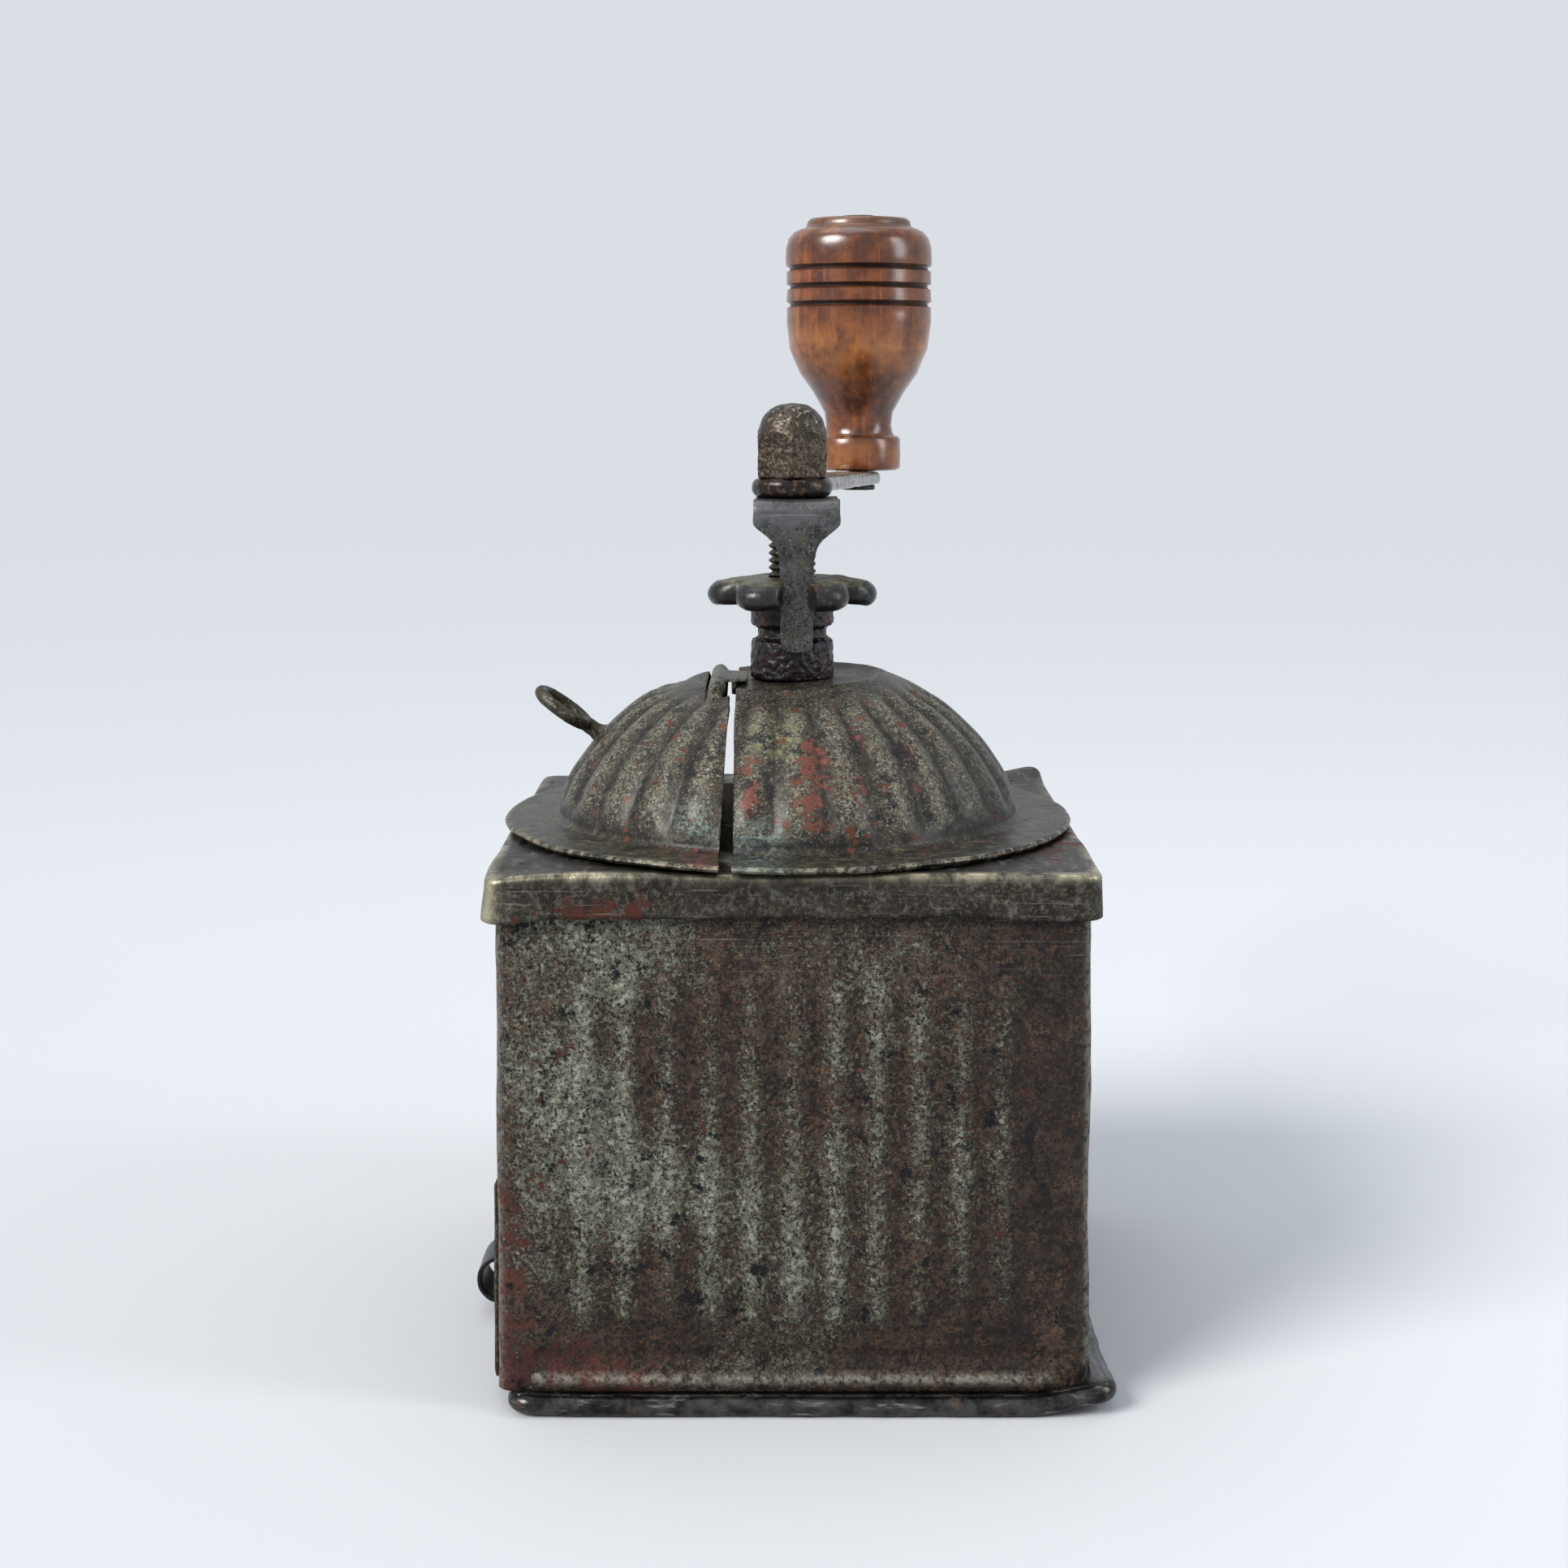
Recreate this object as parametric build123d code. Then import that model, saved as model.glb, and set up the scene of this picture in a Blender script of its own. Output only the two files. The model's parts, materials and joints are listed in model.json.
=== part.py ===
from build123d import *
import os
import math

# Box coffee mill with a domed hopper, a side drawer and a hand crank.
# Z is up, z = 0 is the table, the spindle stands on x = 0, y = 0.

# box
body_w = 110.5
body_d = 108.0
body_wall = 1.0
body_low = 3.8
body_high = 100.3
body_corner = 3.0
flute_low = 13.7
flute_high = 83.3
flute_pitch = 7.8
flute_count = 11
flute_r = 3.6
flute_rise = 1.1
bead_r = 2.0
bead_z = 5.9
cover_w = 114.5
cover_d = 112.0
cover_top = 101.5
cover_skirt = 8.3
cover_wall = 1.2
cover_hole_r = 42.6
base_size = 114.0
base_x = 3.5
base_y = -1.0
base_top = 3.8
base_sheet = 1.2
base_roll_r = 1.9
base_panel = 84.0

# hopper
dome_x = -0.9
brim_y = -1.5
brim_r = 58.0
brim_low = 102.3
brim_high = 103.3
dome_profile = [(47.0, 102.3), (46.5, 106.1), (44.7, 110.8), (43.0, 113.8), (39.9, 118.1),
                (35.6, 122.5), (31.4, 125.9), (27.0, 128.3), (20.8, 131.1)]
dome_wall = 0.8
crown_z = 131.1
split_fixed = -11.3
split_lid = -12.95
split_twist = 1.2
split_lean = 4.0
hinge_x = -15.2
hinge_z = 130.2
hinge_pin_r = 0.9
knuckle_r = 1.9
hinge_slot = 2.3
ring_centre = (-47.3, 0.0, 124.6)
ring_tilt = 35.6
ring_mean_r = 5.7
ring_wire_r = 1.35

# grinding work
spindle_r = 4.85
running_gap = 0.07
journal_r = 4.0
burr_seat_r = 4.45
square = 6.7
thread_pitch = 1.5
stud_r = 3.95
collar_top = 146.6
burr_top = 78.2
burr_low = 56.0
throat_r = 14.0
mouth_r = 20.0
screw_y = 30.0

# crank
nut_low = 146.9
nut_high = 151.9
nut_lobe_reach = 17.5
nut_round = 1.8
strip_x = 0.9
strip_y = -9.4
strip_sheet = 1.0
arm_low = 168.2
arm_high = 172.4
arm_bar = 3.2
arm_drop = 2.9
eye_r = 8.3
tip_r = 5.6
acorn_shoulder = 179.4
acorn_top = 187.6
knob_x = 17.3
knob_y = 114.0
knob_low = 169.9
knob_pin_r = 2.5
knob_profile = [(10.6, 169.9), (10.6, 178.4), (8.6, 179.4), (8.35, 181.3), (8.8, 184.6), (11.7, 189.8),
                (15.0, 194.5), (17.6, 200.7), (18.3, 207.3), (18.35, 211.2), (17.5, 211.8),
                (18.4, 212.4), (18.5, 215.7), (17.7, 216.3), (18.55, 216.9), (18.6, 220.3),
                (17.8, 220.9), (18.6, 221.5), (18.5, 226.2), (16.6, 229.6), (13.6, 231.1), (13.3, 233.8)]

# drawer
drawer_y = -4.0
drawer_half = 41.0
drawer_low = 4.1
drawer_high = 38.6
drawer_back = 36.0
drawer_wall = 0.8
front_gap = 0.4
front_sheet = 1.2
pull_r = 4.9
pull_band = 0.9
pull_width = 12.0
pull_z = 7.7


def block(x0, x1, y0, y1, z0, z1):
    """A box given by its limits."""
    return Pos((x0 + x1) / 2, (y0 + y1) / 2, (z0 + z1) / 2) * Box(x1 - x0, y1 - y0, z1 - z0)


def rod(x, y, z0, z1, r):
    """An upright cylinder between two heights."""
    return Pos(x, y, (z0 + z1) / 2) * Cylinder(r, z1 - z0)


def turned(points):
    """A solid of revolution about Z from a closed outline of (radius, height) pairs."""
    outline = Polyline(*[(r, 0, z) for r, z in points], close=True)
    return revolve(make_face(outline), Axis.Z)


def rounded_block(w, d, z0, z1, corner):
    """An upright block with rounded vertical corners."""
    outline = RectangleRounded(w, d, corner)
    return Pos(0, 0, z0) * extrude(outline, z1 - z0)


def inset(points, depth):
    """The same curve moved inwards by a sheet thickness."""
    moved = []
    for i, (r, z) in enumerate(points):
        before = points[max(i - 1, 0)]
        after = points[min(i + 1, len(points) - 1)]
        run = (after[0] - before[0], after[1] - before[1])
        length = math.hypot(*run)
        moved.append((r - depth * run[1] / length, z + depth * run[0] / length))
    return moved


def base_plate():
    plate = block(base_x - base_size / 2 + base_roll_r, base_x + base_size / 2 - base_roll_r,
                  base_y - base_size / 2 + base_roll_r, base_y + base_size / 2 - base_roll_r,
                  base_top - base_sheet, base_top)
    plate -= block(-base_panel / 2 + 1.2, base_panel / 2 - 1.2, -base_panel / 2 + 1.2, base_panel / 2 - 1.2,
                   0, base_top)
    panel = block(-base_panel / 2, base_panel / 2, -base_panel / 2, base_panel / 2, 0, base_top)
    panel -= block(-base_panel / 2 + 1.2, base_panel / 2 - 1.2, -base_panel / 2 + 1.2, base_panel / 2 - 1.2,
                   base_sheet, base_top)
    shape = plate + panel
    reach = base_size / 2 - base_roll_r
    span = base_size - 2 * base_roll_r
    for side in (-1, 1):
        shape += Pos(base_x, base_y + side * reach, base_roll_r) * Rot(0, 90, 0) * Cylinder(base_roll_r, span)
        shape += Pos(base_x + side * reach, base_y, base_roll_r) * Rot(90, 0, 0) * Cylinder(base_roll_r, span)
        for other in (-1, 1):
            shape += Pos(base_x + side * reach, base_y + other * reach, base_roll_r) * Sphere(base_roll_r)
    return shape


def body_tube():
    """The upright walls of the box in one piece, before they are parted at the corner seams."""
    shape = rounded_block(body_w, body_d, body_low, body_high, body_corner)
    flute_length = flute_high - flute_low
    middle = (flute_low + flute_high) / 2
    for i in range(flute_count):
        along = (i - (flute_count - 1) / 2) * flute_pitch
        for side in (-1, 1):
            shape += Pos(along, side * (body_d / 2 + flute_rise - flute_r), middle) * Cylinder(
                flute_r, flute_length)
        shape += Pos(body_w / 2 + flute_rise - flute_r, along, middle) * Cylinder(flute_r, flute_length)
    for side in (-1, 1):
        shape += Pos(0, side * (body_d / 2 - 0.8), bead_z) * Rot(0, 90, 0) * Cylinder(bead_r, body_w - 18)
    shape += Pos(body_w / 2 - 0.8, 0, bead_z) * Rot(90, 0, 0) * Cylinder(bead_r, body_d - 18)
    shape -= rounded_block(body_w - 2 * body_wall, body_d - 2 * body_wall, 0, body_high + 1,
                           body_corner - body_wall)
    shape -= block(-body_w / 2 - 2, -body_w / 2 + 4, drawer_y - drawer_half - 1, drawer_y + drawer_half + 1,
                   0, drawer_high + 1.2)
    return shape


def body_panels():
    """The four walls: front and back carry the rounded corners, the side walls fit between them."""
    tube = body_tube()
    seam_x = body_w / 2 - body_corner
    seam_y = body_d / 2 - body_corner
    return {
        "body_front": tube & block(-body_w, body_w, -body_d, -seam_y, 0, body_high),
        "body_back": tube & block(-body_w, body_w, seam_y, body_d, 0, body_high),
        "body_right": tube & block(seam_x, body_w, -seam_y, seam_y, 0, body_high),
        "body_left": tube & block(-body_w, -seam_x, -seam_y, seam_y, 0, body_high),
    }


def top_cover():
    shape = rounded_block(cover_w, cover_d, cover_top - cover_skirt, cover_top, 4.0)
    shape = fillet(shape.faces().sort_by(Axis.Z)[-1].edges(), 1.1)
    shape -= rounded_block(cover_w - 2 * cover_wall, cover_d - 2 * cover_wall, 0, cover_top - cover_wall, 2.8)
    return shape - rod(0, 0, 90, 110, cover_hole_r)


def hopper_bowl():
    shape = turned([(50, 101.5), (50, 102.3), (41.0, 102.3), (14.6, 80.0), (14.6, burr_top), (34, burr_top),
                    (34, 79.4), (16.0, 79.4), (16.0, 79.9), (41.6, 101.5)])
    for side in (-1, 1):
        shape -= rod(0, side * screw_y, 70, 85, 2.0)
    return shape


def brim():
    """The flat rim at the foot of the dome, with its rolled edge."""
    disc = rod(dome_x, brim_y, brim_low, brim_high, brim_r - 0.9)
    edge = Pos(dome_x, brim_y, brim_low + 0.5) * Torus(brim_r - 0.9, 0.9)
    return disc + edge - rod(dome_x, 0, 90, 110, 46.6)


def dome_outer():
    """The whole dome as a solid, used to trim what sits on it."""
    return Pos(dome_x, 0, 0) * turned([(0, 90)] + [(47.0, 90)] + dome_profile + [(0, crown_z)])


def dome_skin():
    """The whole hopper dome and its rim as one thin shell."""
    inner = inset(dome_profile, dome_wall)
    inner[0] = (dome_profile[0][0] - dome_wall, dome_profile[0][1])
    inner[-1] = (dome_profile[-1][0] - 0.4, crown_z - dome_wall)
    outline = dome_profile + [(0, crown_z), (0, crown_z - dome_wall)] + inner[::-1]
    slot = block(hinge_x - hinge_slot, split_fixed, -19, 19, 125, 135)
    return Pos(dome_x, 0, 0) * turned(outline) + brim() - slot


def dome_shell():
    shape = dome_skin() & block(split_fixed, 60, -65, 65, 90, 140)
    return shape - rod(0, 0, 120, 140, 6.7)


def lid_shell():
    """The hinged side; its edge leans away from the fixed side towards the foot and the back."""
    edge = Pos(split_lid, 0, crown_z) * Rot(0, split_lean, split_twist) * block(-80, 0, -80, 80, -60, 60)
    return dome_skin() & edge & block(-65, 0, -65, 65, brim_low + 0.3, 140)


def dome_seam_bead():
    """The line of solder that holds the fixed half of the rim down on the cover."""
    ring = rod(dome_x, brim_y, cover_top, brim_low - 0.4, brim_r - 1.6)
    ring -= rod(dome_x, brim_y, 90, 110, brim_r - 4.0)
    return ring & block(split_fixed + 0.5, cover_w / 2 - 1.2, -cover_d / 2 + 1.2, cover_d / 2 - 1.2, 90, 110)


def knuckle(y0, y1):
    """One rolled hinge loop round the pin."""
    length = y1 - y0
    place = Pos(hinge_x, (y0 + y1) / 2, hinge_z) * Rot(90, 0, 0)
    return place * (Cylinder(knuckle_r, length) - Cylinder(hinge_pin_r + 0.06, length))


def crown_hinge_leaf():
    leaf = block(hinge_x, -9.4, -3, 3, crown_z, crown_z + 0.9)
    leaf -= Pos(hinge_x, 0, hinge_z) * Rot(90, 0, 0) * Cylinder(knuckle_r - 0.4, 12)
    return leaf + knuckle(-3, 3)


def lid_hinge_leaf():
    shape = Part()
    for side in (-1, 1):
        leaf = block(-19.6, hinge_x, side * 11 - 3, side * 11 + 3, crown_z, crown_z + 0.9)
        leaf -= Pos(hinge_x, side * 11, hinge_z) * Rot(90, 0, 0) * Cylinder(knuckle_r - 0.4, 12)
        shape += leaf + knuckle(side * 11 - 3, side * 11 + 3)
    strap = block(-19.6, -18.1, -10, 10, crown_z, crown_z + 0.9)
    return shape + strap


def hinge_pin():
    return Pos(hinge_x, 0, hinge_z) * Rot(90, 0, 0) * Cylinder(hinge_pin_r, 36)


def lid_ring():
    ring = Pos(*ring_centre) * Rot(0, ring_tilt, 0) * Torus(ring_mean_r, ring_wire_r)
    shank = Pos(*ring_centre) * Rot(0, ring_tilt, 0) * Pos(ring_mean_r + 2.8, 0, 0) * Rot(0, 90, 0) * Cylinder(
        1.6, 5.6)
    foot = Pos(*ring_centre) * Rot(0, ring_tilt, 0) * Pos(9.6, 0, 0) * Rot(0, 90, 0) * Cylinder(3.2, 1.6)
    return ring + shank + foot - dome_outer()


def spindle_collar():
    shape = turned([(spindle_r + running_gap, 121), (6.5, 121), (6.5, crown_z), (8.6, crown_z), (8.35, 138.7),
                    (7.0, 139.6), (7.0, 141.4), (8.45, 142.2), (8.45, collar_top - 0.5),
                    (8.0, collar_top), (spindle_r + running_gap, collar_top)])
    return shape


def collar_nut():
    prism = Pos(0, 0, 124.3) * extrude(RegularPolygon(10.5, 6), 6)
    return prism - rod(0, 0, 120, 135, 6.6)


def outer_burr():
    shape = turned([(mouth_r, burr_low), (23.4, burr_low), (23.4, 75.2), (34, 75.2), (34, burr_top),
                    (throat_r, burr_top)])
    teeth = 20
    for i in range(teeth):
        groove = Pos(17.0, 0, 67) * Rot(0, -15.1, 0) * Box(2.2, 1.6, 30)
        shape -= Rot(0, 0, i * 360 / teeth) * Pos(1.2, 0, 0) * groove
    for side in (-1, 1):
        shape -= rod(0, side * screw_y, 70, 85, 2.0)
    return shape


def inner_burr():
    top = 76.0
    low = 54.0
    slope = (mouth_r - throat_r) / (burr_top - burr_low)
    tip_low = mouth_r - 1.1 + slope * (burr_low - low)
    tip_top = mouth_r - 1.1 - slope * (top - burr_low)
    shape = turned([(burr_seat_r + 0.03, low), (tip_low - 1.0, low), (tip_low, low + 1.2),
                    (tip_top, top - 1.5), (tip_top - 2, top), (burr_seat_r + 0.03, top)])
    teeth = 12
    for i in range(teeth):
        groove = Pos(tip_low - 1.6, 0, 64) * Rot(22, -15.1, 0) * Box(3.0, 2.2, 34)
        shape -= Rot(0, 0, i * 360 / teeth) * groove
    return shape


def bearing_bridge():
    shape = block(-6, 6, -26, 26, 42, 45) + rod(0, 0, 42, 47.5, 8)
    for side in (-1, 1):
        inner, outer = sorted((side * 24, side * 26))
        shape += block(-6, 6, inner, outer, 42, 75.2)
        inner, outer = sorted((side * 24, side * 34))
        shape += block(-6, 6, inner, outer, 73.2, 75.2)
        shape -= rod(0, side * screw_y, 70, 80, 2.0)
    return shape - rod(0, 0, 40, 50, journal_r + 0.05)


def burr_screws():
    shape = Part()
    for side in (-1, 1):
        screw = rod(0, side * screw_y, 73.2, 83.4, 1.9) + rod(0, side * screw_y, 71.2, 73.2, 3.5)
        screw -= block(-4, 4, side * screw_y - 0.4, side * screw_y + 0.4, 71.2, 72.0)
        shape += screw
    return shape


def burr_nuts():
    shape = Part()
    for side in (-1, 1):
        nut = Pos(0, side * screw_y, 79.4) * extrude(RegularPolygon(4.0, 6), 2.8)
        shape += nut - rod(0, side * screw_y, 78, 84, 1.95)
    return shape


def drawer_guides():
    shape = Part()
    for side in (-1, 1):
        y = drawer_y + side * (drawer_half + 1.2)
        shape += block(43.2, 51, y - 0.75, y + 0.75, base_top, base_top + 9)
        shape += block(-50, 43.2, y - 0.75, y + 0.75, base_top, base_top + 9)
    return shape


def spindle():
    profile = [(0, 40.0), (journal_r - 0.5, 40.0), (journal_r, 40.5), (journal_r, 52.0), (burr_seat_r, 52.0),
               (burr_seat_r, 76.0), (spindle_r, 76.0), (spindle_r, 152.6)]
    z = 152.6
    while z < 163:
        profile += [(spindle_r - 0.8, z + thread_pitch * 0.5), (spindle_r, z + thread_pitch)]
        z += thread_pitch
    profile += [(spindle_r, 166.8), (0, 166.8)]
    shape = turned(profile)
    shape += Pos(0, 0, 166.8) * extrude(Rectangle(square, square), arm_high - 166.8)
    return shape + turned([(0, arm_high), (stud_r, arm_high), (stud_r, 183.4), (stud_r - 0.7, 184.1), (0, 184.1)])


def burr_nut():
    prism = Pos(0, 0, 48.8) * extrude(RegularPolygon(7.0, 6), 3.2)
    return prism - rod(0, 0, 45, 55, journal_r + 0.03)


def star_nut():
    outline = Circle(13.0) + [place * Circle(5.5) for place in PolarLocations(nut_lobe_reach - 5.5, 6)]
    shape = Pos(0, 0, nut_low) * extrude(outline, nut_high - nut_low)
    rims = shape.edges().filter_by(lambda e: abs(e.center().Z - nut_low) < 0.01 or abs(e.center().Z - nut_high) < 0.01)
    shape = fillet(rims, nut_round)
    shape -= rod(0, 0, 140, 160, spindle_r + running_gap)
    return shape - block(strip_x - 3.9, strip_x + 3.9, -20, -8.7, 140, 160)


def lock_strip():
    top = block(-6, 6, strip_y - 0.4, 6, 166.8, arm_low)
    half = [(8.8, arm_low), (8.8, 163.4), (7.8, 162.0), (5.0, 160.4), (3.6, 158.6), (3.3, 156),
            (3.2, 138.2), (2.3, 137.2)]
    head = half + [(-x, z) for x, z in half[::-1]]
    face = make_face(Polyline(*[(strip_x + x, strip_y, z) for x, z in head], close=True))
    plate = extrude(face, amount=strip_sheet, dir=(0, -1, 0))
    shape = top + plate
    return shape - Pos(0, 0, 160) * extrude(Rectangle(square + 0.1, square + 0.1), 12)


def crank_arm():
    reach = math.hypot(knob_x, knob_y)
    heading = -math.degrees(math.atan2(knob_x, knob_y))
    slope = math.degrees(math.asin(arm_drop / reach))
    outline = make_hull(Circle(6.4).edges() + (Pos(0, reach) * Circle(tip_r)).edges())
    bar = extrude(outline, arm_bar)
    bar = Rot(0, 0, heading) * Rot(-slope, 0, 0) * fillet(bar.edges(), 1.2)
    eye = rod(0, 0, arm_low, arm_high, eye_r)
    shape = Pos(0, 0, arm_high - arm_bar) * bar + fillet(eye.edges(), 1.9)
    shape -= rod(0, 0, arm_high, arm_high + 2, 12)
    shape -= Pos(0, 0, 160) * extrude(Rectangle(square + 0.1, square + 0.1), 15)
    return shape - rod(knob_x, knob_y, 160, 175, knob_pin_r + 0.03)


def acorn_nut():
    prism = Pos(0, 0, arm_high) * Rot(0, 0, 30) * extrude(RegularPolygon(8.08, 6), acorn_top - arm_high)
    foot = Polyline((0, 0, acorn_top), (0, 0, arm_high), (7.5, 0, arm_high), (8.2, 0, arm_high + 0.8),
                    (8.2, 0, acorn_shoulder))
    hood = Spline((8.2, 0, acorn_shoulder), (7.0, 0, acorn_top - 5.7), (5.0, 0, acorn_top - 2.0),
                  (0, 0, acorn_top), tangents=[(0, 0, 1), (-1, 0, 0)])
    envelope = revolve(make_face([foot, hood]), Axis.Z)
    return (prism & envelope) - rod(0, 0, 170, 184.6, stud_r + 0.03)


def knob_pin():
    shape = rod(knob_x, knob_y, 166.1, 233.2, knob_pin_r)
    shape += rod(knob_x, knob_y, 164.9, 166.1, 4.2)
    return shape + rod(knob_x, knob_y, 233.0, 234.4, 4.2)


def knob():
    shape = turned([(0, knob_low)] + knob_profile + [(0, 233.8)])
    shape -= rod(0, 0, 160, 240, knob_pin_r + 0.08)
    shape -= rod(0, 0, 232.7, 240, 4.8)
    return Pos(knob_x, knob_y, 0) * shape


def drawer_box():
    front = -body_w / 2 - front_gap
    shape = block(front, drawer_back, drawer_y - drawer_half, drawer_y + drawer_half, drawer_low, drawer_high)
    return shape - block(front + drawer_wall, drawer_back - drawer_wall,
                         drawer_y - drawer_half + drawer_wall, drawer_y + drawer_half - drawer_wall,
                         drawer_low + drawer_wall, drawer_high + 5)


def drawer_front():
    back = -body_w / 2 - front_gap
    shape = block(back - front_sheet, back, drawer_y - 44, drawer_y + 44, 4.0, 41.2)
    for side in (-1, 1):
        shape -= rod_through(drawer_y + side * 3.2, 19.0)
    return shape


def rod_through(y, z, r=1.3, x0=-60.0, x1=-54.0):
    """A level cylinder through the drawer front."""
    return Pos((x0 + x1) / 2, y, z) * Rot(0, 90, 0) * Cylinder(r, x1 - x0)


def drawer_pull():
    back = -body_w / 2 - front_gap - front_sheet
    centre = back - pull_r + 1.85
    loop = Pos(centre, drawer_y, pull_z) * Rot(90, 0, 0) * (
        Cylinder(pull_r, pull_width) - Cylinder(pull_r - pull_band, pull_width))
    loop -= block(back, back + 10, -40, 40, 0, 30)
    leaf = block(back - pull_band, back, drawer_y - pull_width / 2, drawer_y + pull_width / 2,
                 pull_z + 3.0, pull_z + 15.5)
    shape = loop + leaf
    for side in (-1, 1):
        shape -= rod_through(drawer_y + side * 3.2, 19.0)
    return shape


def pull_rivets():
    back = -body_w / 2 - front_gap - front_sheet
    shape = Part()
    for side in (-1, 1):
        y = drawer_y + side * 3.2
        shape += rod_through(y, 19.0, 1.25, back - pull_band, back + front_sheet)
        shape += rod_through(y, 19.0, 2.1, back - pull_band - 0.9, back - pull_band)
    return shape


pieces = {
    "base_plate": base_plate(),
    **body_panels(),
    "top_cover": top_cover(),
    "hopper_bowl": hopper_bowl(),
    "dome_shell": dome_shell(),
    "dome_seam_bead": dome_seam_bead(),
    "crown_hinge_leaf": crown_hinge_leaf(),
    "hinge_pin": hinge_pin(),
    "spindle_collar": spindle_collar(),
    "collar_nut": collar_nut(),
    "outer_burr": outer_burr(),
    "bearing_bridge": bearing_bridge(),
    "burr_screws": burr_screws(),
    "burr_nuts": burr_nuts(),
    "drawer_guides": drawer_guides(),
    "star_nut": star_nut(),
    "spindle": spindle(),
    "inner_burr": inner_burr(),
    "burr_nut": burr_nut(),
    "lock_strip": lock_strip(),
    "crank_arm": crank_arm(),
    "acorn_nut": acorn_nut(),
    "knob_pin": knob_pin(),
    "knob": knob(),
    "lid_shell": lid_shell(),
    "lid_hinge_leaf": lid_hinge_leaf(),
    "lid_ring": lid_ring(),
    "drawer_box": drawer_box(),
    "drawer_front": drawer_front(),
    "drawer_pull": drawer_pull(),
    "pull_rivets": pull_rivets(),
}

os.makedirs("parts", exist_ok=True)
for node, shape in pieces.items():
    export_step(shape, f"parts/{node}.step")
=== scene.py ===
import json
import math

import bmesh
import bpy
import numpy as np
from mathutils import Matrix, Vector, noise


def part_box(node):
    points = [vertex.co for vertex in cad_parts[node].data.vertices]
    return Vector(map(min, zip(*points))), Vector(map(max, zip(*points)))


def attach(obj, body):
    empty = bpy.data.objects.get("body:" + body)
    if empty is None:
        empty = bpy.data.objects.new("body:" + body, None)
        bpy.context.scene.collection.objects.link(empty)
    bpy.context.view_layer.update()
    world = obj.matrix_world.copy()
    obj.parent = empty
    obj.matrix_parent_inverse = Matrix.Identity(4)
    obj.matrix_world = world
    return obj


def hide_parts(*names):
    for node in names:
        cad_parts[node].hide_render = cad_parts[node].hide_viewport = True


# Looks for the box coffee mill: worn tin plate, cast collar, screw work and a turned knob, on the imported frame.

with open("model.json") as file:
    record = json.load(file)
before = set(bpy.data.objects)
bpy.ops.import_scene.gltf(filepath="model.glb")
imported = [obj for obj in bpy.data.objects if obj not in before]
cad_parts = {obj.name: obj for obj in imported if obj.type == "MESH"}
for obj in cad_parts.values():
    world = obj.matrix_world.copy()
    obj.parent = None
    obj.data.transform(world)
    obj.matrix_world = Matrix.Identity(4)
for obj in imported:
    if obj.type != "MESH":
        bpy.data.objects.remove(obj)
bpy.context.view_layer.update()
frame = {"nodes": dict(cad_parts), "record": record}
nodes = frame["nodes"]


# ---------------------------------------------------------------- positions read from the frame, in mm
def span(node):
    """A node's low and high corners in mm."""
    low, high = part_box(node)
    return np.array(low) * 1000, np.array(high) * 1000


body_panels = ("body_front", "body_back", "body_right", "body_left")
body_low = np.min([span(node)[0] for node in body_panels], axis=0)
body_high = np.max([span(node)[1] for node in body_panels], axis=0)
cover_low, cover_high = span("top_cover")
dome_low, dome_high = span("dome_shell")
lid_low = span("lid_shell")[0]
base_low, base_high = span("base_plate")
front_low, front_high = span("drawer_front")
knob_low, knob_high = span("knob")
box_low, box_high = span("drawer_box")
strip_low, strip_high = span("lock_strip")
nut_low, nut_high = span("star_nut")
spindle_low, spindle_high = span("spindle")
half_w = -body_low[0]
half_d = body_high[1] - 1.1
dome_x = (lid_low[0] + dome_high[0]) / 2
brim_y = (dome_low[1] + dome_high[1]) / 2
brim_r = (dome_high[1] - dome_low[1]) / 2
crown_z = dome_high[2]
drawer_y = (box_low[1] + box_high[1]) / 2


# ---------------------------------------------------------------- mesh helpers
def make_object(name, points, faces, crease=40):
    """A smooth mesh object from points in mm."""
    mesh = bpy.data.meshes.new(name)
    mesh.from_pydata((np.asarray(points, float) * 0.001).tolist(), [], faces)
    mesh.update()
    mesh.polygons.foreach_set("use_smooth", [True] * len(mesh.polygons))
    mesh.set_sharp_from_angle(angle=math.radians(crease))
    obj = bpy.data.objects.new(name, mesh)
    bpy.context.scene.collection.objects.link(obj)
    return obj


def grid_faces(rows, cols, wrap=False):
    """Quads over a grid of points stored row by row."""
    faces = []
    for i in range(rows - 1):
        for j in range(cols if wrap else cols - 1):
            k = (j + 1) % cols
            faces.append((i * cols + j, i * cols + k, (i + 1) * cols + k, (i + 1) * cols + j))
    return faces


def smooth_curve(points, count):
    """Points spread evenly along a Catmull-Rom curve through the given ones."""
    p = np.array(points, float)
    p = np.vstack([2 * p[0] - p[1], p, 2 * p[-1] - p[-2]])
    out = []
    for i in range(1, len(p) - 2):
        for t in np.linspace(0, 1, 24, endpoint=False):
            a, b, c, d = p[i - 1], p[i], p[i + 1], p[i + 2]
            out.append(0.5 * (2 * b + (c - a) * t + (2 * a - 5 * b + 4 * c - d) * t * t
                              + (3 * b - a - 3 * c + d) * t ** 3))
    out.append(p[-2])
    return spread(out, count)


def spread(points, count):
    """Points spread evenly along straight runs."""
    p = np.array(points, float)
    run = np.concatenate([[0], np.cumsum(np.linalg.norm(np.diff(p, axis=0), axis=1))])
    at = np.linspace(0, run[-1], count)
    return np.column_stack([np.interp(at, run, p[:, k]) for k in range(p.shape[1])])


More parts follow.
